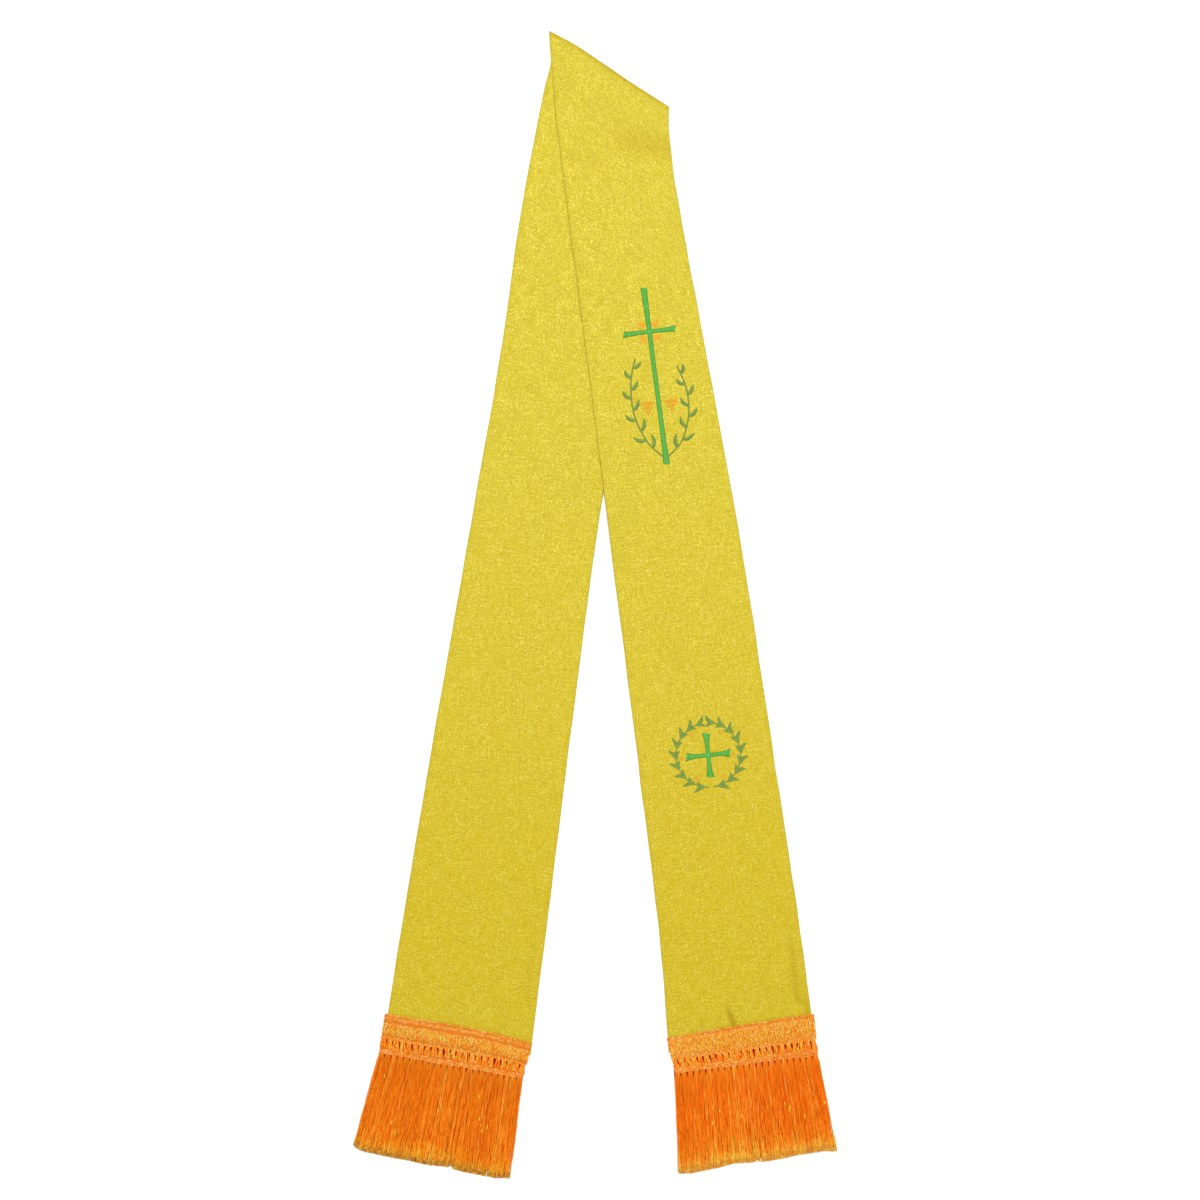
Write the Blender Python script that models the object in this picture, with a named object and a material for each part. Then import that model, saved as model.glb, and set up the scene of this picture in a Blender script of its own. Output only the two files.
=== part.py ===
"""Clerical stole, folded at its centre back seam and laid flat on a table.

Two long tapered bands of cloth meet in a mitred seam at the neck. The front band lies on the back one
near the neck, and they part at the fork and fan out. Each ends in a woven heading with open bars and a
hanging fringe. X runs to the right and Y towards the neck, with +Z up from the table.
Sizes are in millimetres until a mesh is made. While the pieces are made, x and y are 0 at the fork.
"""

import math
import random
from collections import namedtuple

import bmesh
import bpy
import numpy as np

MM = 0.001

# Wall of the finished band, face cloth and back turned out together, and the gap at every seam
CLOTH = 1.8
GAP = 0.3
EDGE = CLOTH / 2

# Mesh of a band: columns between its long edges, and the spacing of its rows, closer near the neck.
# Its ends close within a short step to a thin lip.
COLUMNS = 12
NECK_STEP = 8.0
NECK_ROWS_END = 110.0
ROW_STEP = 27.0
END_STEP = 1.3
END_LIP = 0.35

# Over the back band's edge the front band stays up for a little, then comes down to the table
PLATEAU = 12.0
RAMP = 25.0

# The neck fold springs open a little: height, where it is highest, and where it ends
SPRING = 2.2
SPRING_PEAK = 16.0
SPRING_END = 75.0

# The seam's edge bows away from the bands nearer its upper end
SEAM_BOW = 2.0
BOW_REACH = 26.0

# Fringe: the heading's shares of its own height, and its bars
HEADING = 1.6
BRAID = 2.0
WOVEN_SHARE = 0.585
BARS_SHARE = 0.80
BRAID_SHARE = 0.811
BRAID_END = 0.93
COVER_SHARE = 0.40
LANDED_SHARE = 0.56
BARS = 23
BAR_SHARE = 0.64
RIB = 0.45

# Strands leave the braid in a bundle under each bar
STRANDS_EACH = 5
BUNDLE_SHARE = 0.80
STRAND_SHARE = 0.80
STRAND_WIDE = 0.92
STRAND_LOW = 0.4
STRAND_HIGH = 1.7
LENGTH_JITTER = 1.6

CLOTH_COLOUR = (0.760, 0.640, 0.060, 1.0)
TRIM_COLOUR = (0.830, 0.190, 0.012, 1.0)

# One row for each section across a band, from the neck seam to the hem under the fringe
Section = namedtuple("Section", "left_x left_y right_x right_y")
FRONT_SECTIONS = [
    Section(-52.8, 442.6, 62.4, 369.6),
    Section(-50.9, 415.7, 62.4, 347.5),
    Section(-48.3, 383.0, 65.3, 318.0),
    Section(-43.2, 333.0, 71.8, 276.0),
    Section(-34.2, 263.4, 80.4, 229.0),
    Section(-13.0, 100.0, 104.4, 100.0),
    Section(7.7, -63.0, 130.9, -46.0),
    Section(33.7, -268.0, 162.2, -247.7),
    Section(56.7, -464.0, 191.0, -439.7),
    Section(61.9, -537.6, 200.2, -509.8),
]
BACK_SECTIONS = [
    Section(-52.8, 442.6, 62.4, 369.6),
    Section(-50.4, 416.5, 58.3, 345.0),
    Section(-57.2, 388.0, 53.4, 316.0),
    Section(-65.3, 347.5, 47.3, 280.0),
    Section(-77.8, 280.3, 37.1, 220.0),
    Section(-98.9, 136.3, 18.0, 106.5),
    Section(-123.8, -7.7, -4.7, -28.0),
    Section(-157.4, -199.7, -30.4, -221.0),
    Section(-190.1, -391.7, -54.6, -414.5),
    Section(-209.3, -512.6, -70.6, -540.5),
]

# Corners of a fringe: the heading's top edge, its foot, and the line of the strands' tips
Corners = namedtuple("Corners", "left_x left_y right_x right_y")
Fringe = namedtuple("Fringe", "top foot tips seed")
FRONT_FRINGE = Fringe(
    top=Corners(60.0, -523.6, 201.6, -500.6),
    foot=Corners(68.6, -561.6, 205.9, -544.3),
    tips=Corners(71.4, -653.6, 223.4, -631.6),
    seed=7,
)
BACK_FRINGE = Fringe(
    top=Corners(-210.2, -500.2, -68.6, -529.0),
    foot=Corners(-216.5, -541.4, -78.7, -565.4),
    tips=Corners(-241.0, -629.4, -90.2, -658.3),
    seed=11,
)

# A soft crease runs in from the edge of the front band where its neck turns: its ends, width and depth
Crease = namedtuple("Crease", "x0 y0 x1 y1 wide deep")
NECK_CREASE = Crease(-31.7, 349.4, 60.0, 328.6, 13.0, 1.0)


def clear_scene():
    for old in list(bpy.data.objects):
        bpy.data.objects.remove(old)


def material(name, colour, roughness, metallic):
    made = bpy.data.materials.new(name)
    made.use_nodes = True
    shader = made.node_tree.nodes["Principled BSDF"]
    shader.inputs["Base Color"].default_value = colour
    shader.inputs["Roughness"].default_value = roughness
    shader.inputs["Metallic"].default_value = metallic
    return made


def ease(share):
    """0 to 1 with level ends."""
    share = min(max(share, 0.0), 1.0)
    return share * share * (3 - 2 * share)


def edges_of(sections):
    """Smooth edges through the sections: a function of the distance from the neck seam, and the length."""
    rows = np.array(sections)
    middle = (rows[:, :2] + rows[:, 2:]) / 2
    steps = np.linalg.norm(np.diff(middle, axis=0), axis=1)
    along = np.concatenate([[0.0], np.cumsum(steps)])
    slopes = np.diff(rows, axis=0) / steps[:, None]
    tangents = np.concatenate([slopes[:1], slopes])
    before, after = steps[:-1, None], steps[1:, None]
    tangents[1:-1] = (slopes[:-1] * after + slopes[1:] * before) / (before + after)

    def at(distance):
        k = int(np.clip(np.searchsorted(along, distance) - 1, 0, len(steps) - 1))
        t = (distance - along[k]) / steps[k]
        point = (
            (2 * t**3 - 3 * t**2 + 1) * rows[k]
            + (t**3 - 2 * t**2 + t) * steps[k] * tangents[k]
            + (3 * t**2 - 2 * t**3) * rows[k + 1]
            + (t**3 - t**2) * steps[k] * tangents[k + 1]
        )
        return point[:2], point[2:]

    return at, along[-1]


def past_back_edge(x, y):
    """How far a point lies to the right of the back band's inner edge, which runs from seam to fork."""
    seam = FRONT_SECTIONS[0]
    return (x * seam.right_y - y * seam.right_x) / math.hypot(seam.right_x, seam.right_y)


def crease_depth(crease, x, y):
    """A soft trough along a short line, deepest at the line's second end."""
    ax, ay = crease.x1 - crease.x0, crease.y1 - crease.y0
    length = math.hypot(ax, ay)
    run = ((x - crease.x0) * ax + (y - crease.y0) * ay) / length
    off = ((x - crease.x0) * ay - (y - crease.y0) * ax) / length
    beyond = max(run - length, 0.0)
    side = math.exp(-((off / crease.wide) ** 2) - (beyond / crease.wide) ** 2)
    return crease.deep * ease(run / length) * side


def seam_bow(share, distance):
    """How far a point near the neck seam moves out, square to the seam."""
    seam = FRONT_SECTIONS[0]
    outward = np.array([seam.left_y - seam.right_y, seam.right_x - seam.left_x])
    bow = SEAM_BOW * math.sin(math.pi * math.sqrt(share)) ** 4 * (1 - ease(distance / BOW_REACH))
    return outward / np.linalg.norm(outward) * bow


def front_heights(x, y, distance):
    """Underside and top of the front band: over the back one, then down to the table."""
    lift = (CLOTH + GAP) * (1 - ease((past_back_edge(x, y) - PLATEAU) / RAMP))
    rise = ease(distance / SPRING_PEAK)
    fall = 1 - ease((distance - SPRING_PEAK) / (SPRING_END - SPRING_PEAK))
    low = lift + SPRING * rise * fall
    return low, low + CLOTH - crease_depth(NECK_CREASE, x, y)


def back_heights(x, y, distance):
    """Underside and top of the back band, which lies flat all along."""
    return 0.0, CLOTH


def make_object(name, mesh, made_of):
    """Closes a bmesh made in millimetres into an object in metres."""
    bmesh.ops.recalc_face_normals(mesh, faces=mesh.faces)
    bmesh.ops.scale(mesh, vec=(MM, MM, MM), verts=mesh.verts)
    data = bpy.data.meshes.new(name)
    mesh.to_mesh(data)
    mesh.free()
    data.materials.append(made_of)
    made = bpy.data.objects.new(name, data)
    bpy.context.scene.collection.objects.link(made)
    return made


def band(name, sections, heights, seam_at, made_of):
    """A cloth band lofted through rings across it. seam_at is the height that its neck end closes to."""
    at, length = edges_of(sections)
    near = np.arange(END_STEP, NECK_ROWS_END, NECK_STEP)
    count = round((length - END_STEP - NECK_ROWS_END) / ROW_STEP)
    far = np.linspace(NECK_ROWS_END, length - END_STEP, count + 1)
    distances = [0.0, *near, *far, length]
    mesh = bmesh.new()
    rings = []
    for distance in distances:
        left, right = at(distance)
        inset = EDGE / np.linalg.norm(right - left)
        shares = np.linspace(inset, 1 - inset, COLUMNS + 1)
        points = [left + (right - left) * share + seam_bow(share, distance) for share in shares]
        spans = [heights(*point, distance) for point in points]
        middles = [heights(*edge, distance) for edge in (left, right)]
        if distance in (0.0, length):
            close_to = seam_at if distance == 0.0 else 0.5
            spans = [narrowed(span, close_to) for span in spans]
            middles = [narrowed(span, close_to) for span in middles]
        ring = [mesh.verts.new((*p, span[1])) for p, span in zip(points, spans)]
        ring.append(mesh.verts.new((*right, sum(middles[1]) / 2)))
        under = [mesh.verts.new((*p, span[0])) for p, span in zip(points, spans)]
        ring.extend(reversed(under))
        ring.append(mesh.verts.new((*left, sum(middles[0]) / 2)))
        rings.append(ring)
    for first, second in zip(rings, rings[1:]):
        for i, corner in enumerate(first):
            j = (i + 1) % len(first)
            mesh.faces.new((corner, first[j], second[j], second[i]))
    mesh.faces.new(rings[0])
    mesh.faces.new(rings[-1])
    return make_object(name, mesh, made_of)


def narrowed(span, close_to):
    """The span of heights closed to a thin lip at a share of its height."""
    low, high = span
    keep = (high - low) * END_LIP
    base = low + (high - low - keep) * close_to
    return base, base + keep


def line_point(corners, share):
    """A point at a share of the way from a row's left end to its right end."""
    left = np.array([corners.left_x, corners.left_y])
    right = np.array([corners.right_x, corners.right_y])
    return left + (right - left) * share


def heading_row(fringe, down):
    """The row of the heading at a share of the way from its top edge to its foot."""
    mixed = np.array(fringe.top) * (1 - down) + np.array(fringe.foot) * down
    return Corners(*mixed)


def heading_lift(down):
    """The heading rides on the cloth's end, then comes down to the table past the hem."""
    return (CLOTH + GAP) * (1 - ease((down - COVER_SHARE) / (LANDED_SHARE - COVER_SHARE)))


def comb(name, rows, teeth, sections_of, made_of):
    """A strip with teeth out of its last row.

    rows holds (corners, low, high) for each row, teeth the shares at which each tooth starts and ends,
    and sections_of(i) the further sections of tooth i, each of four points.
    """
    mesh = bmesh.new()
    shares = sorted({0.0, 1.0, *(share for tooth in teeth for share in tooth)})
    tops, lows = [], []
    for number, (corners, low, high) in enumerate(rows):
        across = shares if number == len(rows) - 1 else (0.0, 1.0)
        points = [line_point(corners, share) for share in across]
        tops.append([mesh.verts.new((*p, high)) for p in points])
        lows.append([mesh.verts.new((*p, low)) for p in points])
    for i in range(len(rows) - 1):
        mesh.faces.new([*tops[i], *reversed(tops[i + 1])])
        mesh.faces.new([*lows[i], *reversed(lows[i + 1])])
        for end in (0, -1):
            mesh.faces.new((tops[i][end], tops[i + 1][end], lows[i + 1][end], lows[i][end]))
    mesh.faces.new((*tops[0], *reversed(lows[0])))
    starts = {tooth[0]: i for i, tooth in enumerate(teeth)}
    for k in range(len(shares) - 1):
        quad = [tops[-1][k], tops[-1][k + 1], lows[-1][k + 1], lows[-1][k]]
        for section in sections_of(starts[shares[k]]) if shares[k] in starts else ():
            further = [mesh.verts.new(point) for point in section]
            for a in range(4):
                b = (a + 1) % 4
                mesh.faces.new((quad[a], quad[b], further[b], further[a]))
            quad = further
        mesh.faces.new(quad)
    return make_object(name, mesh, made_of)


def heading(name, fringe, made_of):
    """The woven heading with its ribs, and the open bars below it."""
    half = BAR_SHARE / 2
    teeth = [((i + 0.5 - half) / BARS, (i + 0.5 + half) / BARS) for i in range(BARS)]
    profile = [
        (0.0, -HEADING * 0.4),
        (0.03, RIB),
        (0.10, RIB),
        (0.13, 0.0),
        (0.17, RIB),
        (0.24, RIB),
        (0.27, 0.0),
        (0.40, RIB * 0.6),
        (0.46, RIB * 0.6),
        (0.52, RIB * 0.6),
        (LANDED_SHARE, 0.0),
        (WOVEN_SHARE, 0.0),
    ]
    rows = [
        (heading_row(fringe, down), heading_lift(down), heading_lift(down) + HEADING + raised)
        for down, raised in profile
    ]
    foot = heading_row(fringe, BARS_SHARE)

    def bar(i):
        points = [line_point(foot, share) for share in teeth[i]]
        return [[(*points[0], HEADING), (*points[1], HEADING), (*points[1], 0), (*points[0], 0)]]

    return comb(name, rows, teeth, bar, made_of)


def strands(name, fringe, made_of):
    """The braid below the bars, with the strands that hang from it laid out on the table."""
    chance = random.Random(fringe.seed)
    count = BARS * STRANDS_EACH
    teeth = []
    for i in range(count):
        bundle, place = divmod(i, STRANDS_EACH)
        cell = (place + 0.5) / STRANDS_EACH - 0.5
        middle = (bundle + 0.5 + cell * BUNDLE_SHARE) / BARS
        half = BUNDLE_SHARE / STRANDS_EACH * STRAND_SHARE / 2 / BARS
        teeth.append((middle - half, middle + half))
    rows = [
        (heading_row(fringe, BRAID_SHARE), 0.0, BRAID * 0.6),
        (heading_row(fringe, BRAID_SHARE * 0.6 + BRAID_END * 0.4), 0.0, BRAID),
        (heading_row(fringe, BRAID_END), 0.0, BRAID * 0.8),
    ]
    foot = heading_row(fringe, BRAID_END)
    across = line_point(fringe.tips, 1) - line_point(fringe.tips, 0)
    across /= np.linalg.norm(across)

    def strand(i):
        root = line_point(foot, sum(teeth[i]) / 2)
        tip = line_point(fringe.tips, (i + 0.5) / count)
        reach = tip - root
        longer = 1 + chance.uniform(-LENGTH_JITTER, LENGTH_JITTER) / np.linalg.norm(reach)
        rise = chance.uniform(-0.1, 0.25)
        sections = []
        for share, wide, low, high in (
            (0.06, 0.75, STRAND_LOW, STRAND_HIGH),
            (0.55, STRAND_WIDE, STRAND_LOW + rise, STRAND_HIGH + rise),
            (1.0, 0.6, STRAND_LOW, STRAND_HIGH * 0.75),
        ):
            centre = root + reach * share * longer
            a, b = centre - across * wide / 2, centre + across * wide / 2
            sections.append([(*a, high), (*b, high), (*b, low), (*a, low)])
        return sections

    return comb(name, rows, teeth, strand, made_of)


def stand_on_origin(objects):
    """Moves the meshes so that the middle of their box's underside is the origin."""
    points = np.array([v.co for made in objects for v in made.data.vertices])
    low, high = points.min(axis=0), points.max(axis=0)
    shift = -np.array([(low[0] + high[0]) / 2, (low[1] + high[1]) / 2, low[2]])
    for made in objects:
        for vertex in made.data.vertices:
            vertex.co = vertex.co + type(vertex.co)(shift)
        made.data.update()


def main():
    clear_scene()
    gold = material("gold_cloth", CLOTH_COLOUR, 0.55, 0.15)
    orange = material("orange_trim", TRIM_COLOUR, 0.5, 0.0)
    stand_on_origin(
        [
            band("front_band", FRONT_SECTIONS, front_heights, 0.0, gold),
            band("back_band", BACK_SECTIONS, back_heights, 1.0, gold),
            heading("front_heading", FRONT_FRINGE, orange),
            heading("back_heading", BACK_FRINGE, orange),
            strands("front_fringe", FRONT_FRINGE, orange),
            strands("back_fringe", BACK_FRINGE, orange),
        ]
    )


main()
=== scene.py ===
# %% [markdown]
# # A clerical stole laid on a table
#
# A stole is a long narrow scarf of brocade, worn round the neck. Two tapered bands meet in a seam at the
# back of the neck, and each band ends in a bought fringe. This one is folded at that seam and laid flat, so
# that both bands point the same way and the front one partly covers the back one.
#
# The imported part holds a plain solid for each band, heading and fringe. This file dresses them: every solid
# gives way to cloth, braid and yarn of its own size in its own place.

import math
from collections import namedtuple

import bpy
import numpy as np
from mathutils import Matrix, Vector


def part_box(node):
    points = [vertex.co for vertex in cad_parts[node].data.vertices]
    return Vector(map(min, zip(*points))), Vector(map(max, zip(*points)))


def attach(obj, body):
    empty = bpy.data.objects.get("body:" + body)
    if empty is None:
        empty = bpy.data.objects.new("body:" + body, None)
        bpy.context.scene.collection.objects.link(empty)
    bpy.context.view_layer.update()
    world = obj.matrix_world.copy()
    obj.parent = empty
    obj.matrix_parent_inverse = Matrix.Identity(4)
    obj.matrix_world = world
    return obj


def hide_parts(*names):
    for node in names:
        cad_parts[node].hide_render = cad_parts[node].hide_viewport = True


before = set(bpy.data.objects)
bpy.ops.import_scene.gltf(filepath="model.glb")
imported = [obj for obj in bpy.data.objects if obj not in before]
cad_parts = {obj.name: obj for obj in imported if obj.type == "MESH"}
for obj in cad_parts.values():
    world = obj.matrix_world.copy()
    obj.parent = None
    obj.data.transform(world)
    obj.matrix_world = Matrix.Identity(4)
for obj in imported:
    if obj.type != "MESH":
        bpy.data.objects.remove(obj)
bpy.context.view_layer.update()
print("nodes:", sorted(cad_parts))

# %% [markdown]
# ## Sizes, and where the bands lie
#
# The cloth has to lie where its solids lie, so it is worked out from the same few sections across each
# band. They are in millimetres from the fork, the point where the bands part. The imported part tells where
# that point is: the front band's own tip is its leftmost and highest corner.

# %% Sections across the bands
MM = 0.001
CLOTH_THICK = 1.8
GAP = 0.3

# The left and right end of a line across a band or a fringe
Section = namedtuple("Section", "left_x left_y right_x right_y")
FRONT_SECTIONS = [
    Section(-52.8, 442.6, 62.4, 369.6),
    Section(-50.9, 415.7, 62.4, 347.5),
    Section(-48.3, 383.0, 65.3, 318.0),
    Section(-43.2, 333.0, 71.8, 276.0),
    Section(-34.2, 263.4, 80.4, 229.0),
    Section(-13.0, 100.0, 104.4, 100.0),
    Section(7.7, -63.0, 130.9, -46.0),
    Section(33.7, -268.0, 162.2, -247.7),
    Section(56.7, -464.0, 191.0, -439.7),
    Section(61.9, -537.6, 200.2, -509.8),
]
BACK_SECTIONS = [
    Section(-52.8, 442.6, 62.4, 369.6),
    Section(-50.4, 416.5, 58.3, 345.0),
    Section(-57.2, 388.0, 53.4, 316.0),
    Section(-65.3, 347.5, 47.3, 280.0),
    Section(-77.8, 280.3, 37.1, 220.0),
    Section(-98.9, 136.3, 18.0, 106.5),
    Section(-123.8, -7.7, -4.7, -28.0),
    Section(-157.4, -199.7, -30.4, -221.0),
    Section(-190.1, -391.7, -54.6, -414.5),
    Section(-209.3, -512.6, -70.6, -540.5),
]

band_low, band_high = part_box("front_band")
tip = FRONT_SECTIONS[0]
fork = np.array([band_low[0] - tip.left_x * MM, band_high[1] - tip.left_y * MM, 0.0])
print("fork at", np.round(fork, 4))

# %% [markdown]
# ## Arithmetic on a material's sockets
#
# A woven finish is mostly arithmetic: stripes, spots and masks that are added and multiplied. Math nodes
# wired by hand hide that, so a small class wraps a socket and lets Python's own operators add the nodes.
# Every other node comes from `Finish.node`, with its settings first and its sockets after them.

# %% Sockets that can be added and multiplied
class Wire:
    """An output socket, with operators that add Math nodes."""

    def __init__(self, finish, socket):
        self.finish = finish
        self.socket = socket

    def math(self, operation, first, second=0.0):
        settings = {"operation": operation}
        return self.finish.node("ShaderNodeMath", settings, {0: first, 1: second})

    def __add__(self, other):
        return self.math("ADD", self, other)

    def __sub__(self, other):
        return self.math("SUBTRACT", self, other)

    def __rsub__(self, other):
        return self.math("SUBTRACT", other, self)

    def __mul__(self, other):
        return self.math("MULTIPLY", self, other)

    def __truediv__(self, other):
        return self.math("DIVIDE", self, other)

    __radd__ = __add__
    __rmul__ = __mul__

    def __abs__(self):
        return self.math("ABSOLUTE", self)

    def sine(self):
        return self.math("SINE", self)

    def fraction(self):
        return self.math("FRACT", self)

    def clamped(self, low, high):
        """0 up to low, 1 from high on, with a smooth ramp between them."""
        sockets = {"Value": self, "From Min": low, "From Max": high}
        return self.finish.node("ShaderNodeMapRange", {"interpolation_type": "SMOOTHSTEP"}, sockets)


# %% Colours, and the stops of a ramp
def linear(channel):
    """A screen's channel, 0 to 255, as the linear number that shaders use."""
    share = channel / 255
    return ((share + 0.055) / 1.055) ** 2.4 if share > 0.04045 else share / 12.92


def dye(red, green, blue):
    """A colour as seen on a screen, as a shader's socket takes it."""
    return (linear(red), linear(green), linear(blue), 1.0)


def dye_stops(*rows):
    """A ramp's stops, from rows of a place from 0 to 1 and the colour there."""
    return [(place, dye(*colour)) for place, *colour in rows]


def set_stops(ramp, stops):
    for _ in range(len(stops) - len(ramp.elements)):
        ramp.elements.new(0.5)
    for element, (place, value) in zip(ramp.elements, stops):
        element.position = place
        element.color = value


print("dye(255, 255, 255) is", dye(255, 255, 255))


# %% A material and the nodes in it
class Finish:
    """A material and the few ways in which this file builds one."""

    def __init__(self, name, **fixed):
        self.material = bpy.data.materials.new(name)
        self.material.use_nodes = True
        self.tree = self.material.node_tree
        self.shader = self.tree.nodes["Principled BSDF"]
        for socket, value in fixed.items():
            self.shader.inputs[socket.replace("_", " ")].default_value = value

    def node(self, kind, settings, sockets, output=0):
        made = self.tree.nodes.new(kind)
        for name, value in settings.items():
            if name == "stops":
                set_stops(made.color_ramp, value)
            else:
                setattr(made, name, value)
        for name, value in sockets.items():
            self.join(value, made.inputs[name])
        return Wire(self, made.outputs[output])

    def join(self, value, socket):
        if isinstance(value, Wire):
            self.tree.links.new(value.socket, socket)
        else:
            socket.default_value = value

    def surface(self, **values):
        """Feeds sockets of the surface shader, such as Base_Color."""
        for name, value in values.items():
            self.join(value, self.shader.inputs[name.replace("_", " ")])

    def attribute(self, name):
        """The three numbers that a piece's points carry under this name."""
        vector = self.node("ShaderNodeAttribute", {"attribute_name": name}, {}, "Vector")
        split = self.node("ShaderNodeSeparateXYZ", {}, {0: vector}).socket.node
        return vector, *(Wire(self, split.outputs[axis]) for axis in "XYZ")

    def noise(self, vector, scale, detail):
        sockets = {"Vector": vector, "Scale": scale, "Detail": detail}
        return self.node("ShaderNodeTexNoise", {}, sockets, "Fac")

    def stretched(self, vector, factors):
        """A vector whose three numbers are multiplied, so that a noise read from it is drawn out."""
        return self.node("ShaderNodeVectorMath", {"operation": "MULTIPLY"}, {0: vector, 1: factors})

    def blend(self, share, first, second):
        sockets = {0: share, 6: first, 7: second}
        return self.node("ShaderNodeMix", {"data_type": "RGBA"}, sockets, 2)

    def bump(self, height, depth_mm, strength):
        sockets = {"Height": height, "Distance": depth_mm * MM, "Strength": strength}
        return self.node("ShaderNodeBump", {}, sockets)


# %% [markdown]
# ## Turning points into a piece
#
# Yarn, braid and cloth are all many like shapes in rows, so their points are worked out as arrays and made
# into one mesh at the end. Each point also carries three numbers of its own, such as how far along its
# thread it lies. The finishes read them, so a colour or a twist follows the thread and not the room.

# %% Make a piece from arrays of points
def make_piece(name, points, faces, finish, carried):
    """A mesh of points in millimetres from the fork, riding on the part's only body."""
    mesh = bpy.data.meshes.new(name)
    mesh.from_pydata(points * MM + fork, [], faces)
    for label, values in carried.items():
        layer = mesh.attributes.new(label, "FLOAT_VECTOR", "POINT")
        layer.data.foreach_set("vector", np.ascontiguousarray(values, np.float32).ravel())
    mesh.materials.append(finish.material)
    mesh.shade_smooth()
    mesh.update()
    made = bpy.data.objects.new(name, mesh)
    bpy.context.scene.collection.objects.link(made)
    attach(made, "root")
    triangles = sum(len(face) - 2 for face in faces)
    print(f"{name}: {triangles} triangles")
    return made


# %% Soft steps and uneven surfaces
WAVES = 5


def ease(share):
    """0 to 1 with level ends, for numbers and arrays."""
    share = np.clip(share, 0.0, 1.0)
    return share * share * (3 - 2 * share)


def ripple(x, y, seed, size):
    """A soft uneven surface from -1 to 1, with bumps about size millimetres across."""
    chance = np.random.default_rng(seed)
    total = 0.0
    for _ in range(WAVES):
        way = chance.uniform(0, math.tau)
        pace = math.tau / size / chance.uniform(1.2, 2.6)
        total = total + np.sin((x * math.cos(way) + y * math.sin(way)) * pace + chance.uniform(0, 9))
    return total / WAVES


print("a soft step at a tenth, a quarter and a half:", ease([0.1, 0.25, 0.5]).round(3))


# %% Sweep yarn along many paths at once
def sweep(paths, thick, sides, chance=None):
    """Tubes round paths, an array of threads by stations by 3. thick is a radius or an array of them.

    Returns the points, the faces and, for each point, its share along the thread, its thread's own chance
    number and the sine of its place round the thread.
    """
    paths = np.asarray(paths, float)
    threads, stations, _ = paths.shape
    run = np.gradient(paths, axis=1)
    run /= np.linalg.norm(run, axis=2, keepdims=True)
    side = np.cross(run, (0.0, 0.0, 1.0))
    side /= np.linalg.norm(side, axis=2, keepdims=True) + 1e-9
    lift = np.cross(side, run)
    turn = np.arange(sides) * math.tau / sides
    thick = np.broadcast_to(np.asarray(thick, float), (threads, stations))[..., None, None]
    across = np.cos(turn)[:, None] * side[:, :, None, :]
    upward = np.sin(turn)[:, None] * lift[:, :, None, :]
    points = (paths[:, :, None, :] + thick * (across + upward)).reshape(-1, 3)
    along = np.broadcast_to(np.linspace(0, 1, stations)[None, :, None], (threads, stations, sides))
    if chance is None:
        chance = np.random.default_rng(threads).random(threads)
    chance = np.broadcast_to(chance[:, None, None], along.shape)
    around = np.broadcast_to(np.sin(turn), along.shape)
    carried = np.stack([along, chance, around], axis=-1).reshape(-1, 3)
    return points, tube_faces(threads, stations, sides), carried


def tube_faces(threads, stations, sides):
    """Quads round closed tubes, and a cap on each end."""
    start = np.arange(threads)[:, None, None] * stations * sides
    ring = np.arange(stations - 1)[None, :, None] * sides
    here = np.arange(sides)[None, None, :]
    after = (here + 1) % sides
    corner = start + ring
    quads = np.stack([corner + here, corner + after, corner + after + sides, corner + here + sides], axis=-1)
    first = (start[:, 0] + np.arange(sides)[::-1]).tolist()
    last = (start[:, 0] + (stations - 1) * sides + np.arange(sides)).tolist()
    return quads.reshape(-1, 4).tolist() + first + last


def both_sides(top, under):
    """Rows round a sheet: its top from left to right, then its underside from right to left."""
    return np.concatenate([top, under[:, ::-1]], axis=1)


print("faces of one yarn with 3 stations and 5 sides:", len(tube_faces(1, 3, 5)))

# %% [markdown]
# ## The cloth
#
# The bands are brocade with a metallic thread, backed and turned out along both edges. Laid out, such cloth
# is nearly flat, and what shows is small: rounded edges, a slight groove where the turned edge meets the
# seam allowance, a soft drag fold where the neck turns, a trough where the allowance ends above the hem,
# and a pucker where the fringe was sewn on. So each band is a shell on a fine grid, lofted through the same
# sections as its solid, with that relief added on its upper side. The underside stays flat on the table.

# %% Creases and waves
# A crease runs from its first point to its second, and is deepest at the second
Crease = namedtuple("Crease", "x0 y0 x1 y1 wide deep")
FRONT_CREASES = [
    Crease(-31.7, 349.4, 60.0, 328.6, 16.0, 0.75),
    Crease(30.0, 300.0, -34.0, 322.0, 9.0, 0.5),
    Crease(115.5, -487.0, 124.4, -512.0, 2.8, 1.7),
    Crease(90.6, -506.0, 95.0, -514.5, 2.8, 0.9),
    Crease(150.0, -478.0, 160.0, -508.0, 8.0, 0.5),
    Crease(88.0, -180.0, 58.0, -150.0, 12.0, 0.4),
    Crease(173.8, -390.0, 186.4, -490.0, 3.8, 0.9),
    Crease(192.5, -474.0, 194.8, -500.0, 3.8, 0.9),
]
BACK_CREASES = [
    Crease(-150.0, -470.0, -146.0, -516.0, 8.0, 0.4),
    Crease(-95.0, -480.0, -104.0, -524.0, 7.0, 0.45),
    Crease(-140.0, -300.0, -100.0, -330.0, 14.0, 0.3),
    Crease(-62.0, -385.0, -75.0, -490.0, 3.6, 0.6),
]
FRONT_RIDGES = [
    Crease(108.0, -494.0, 116.0, -512.0, 3.6, 0.8),
    Crease(-48.0, 392.0, 20.0, 372.0, 12.0, 0.4),
]
CREASE_GROWTH = 1.4
WAVE = 0.16
WAVE_SIZE = 34.0
BACK_RISE = 0.12


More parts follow.
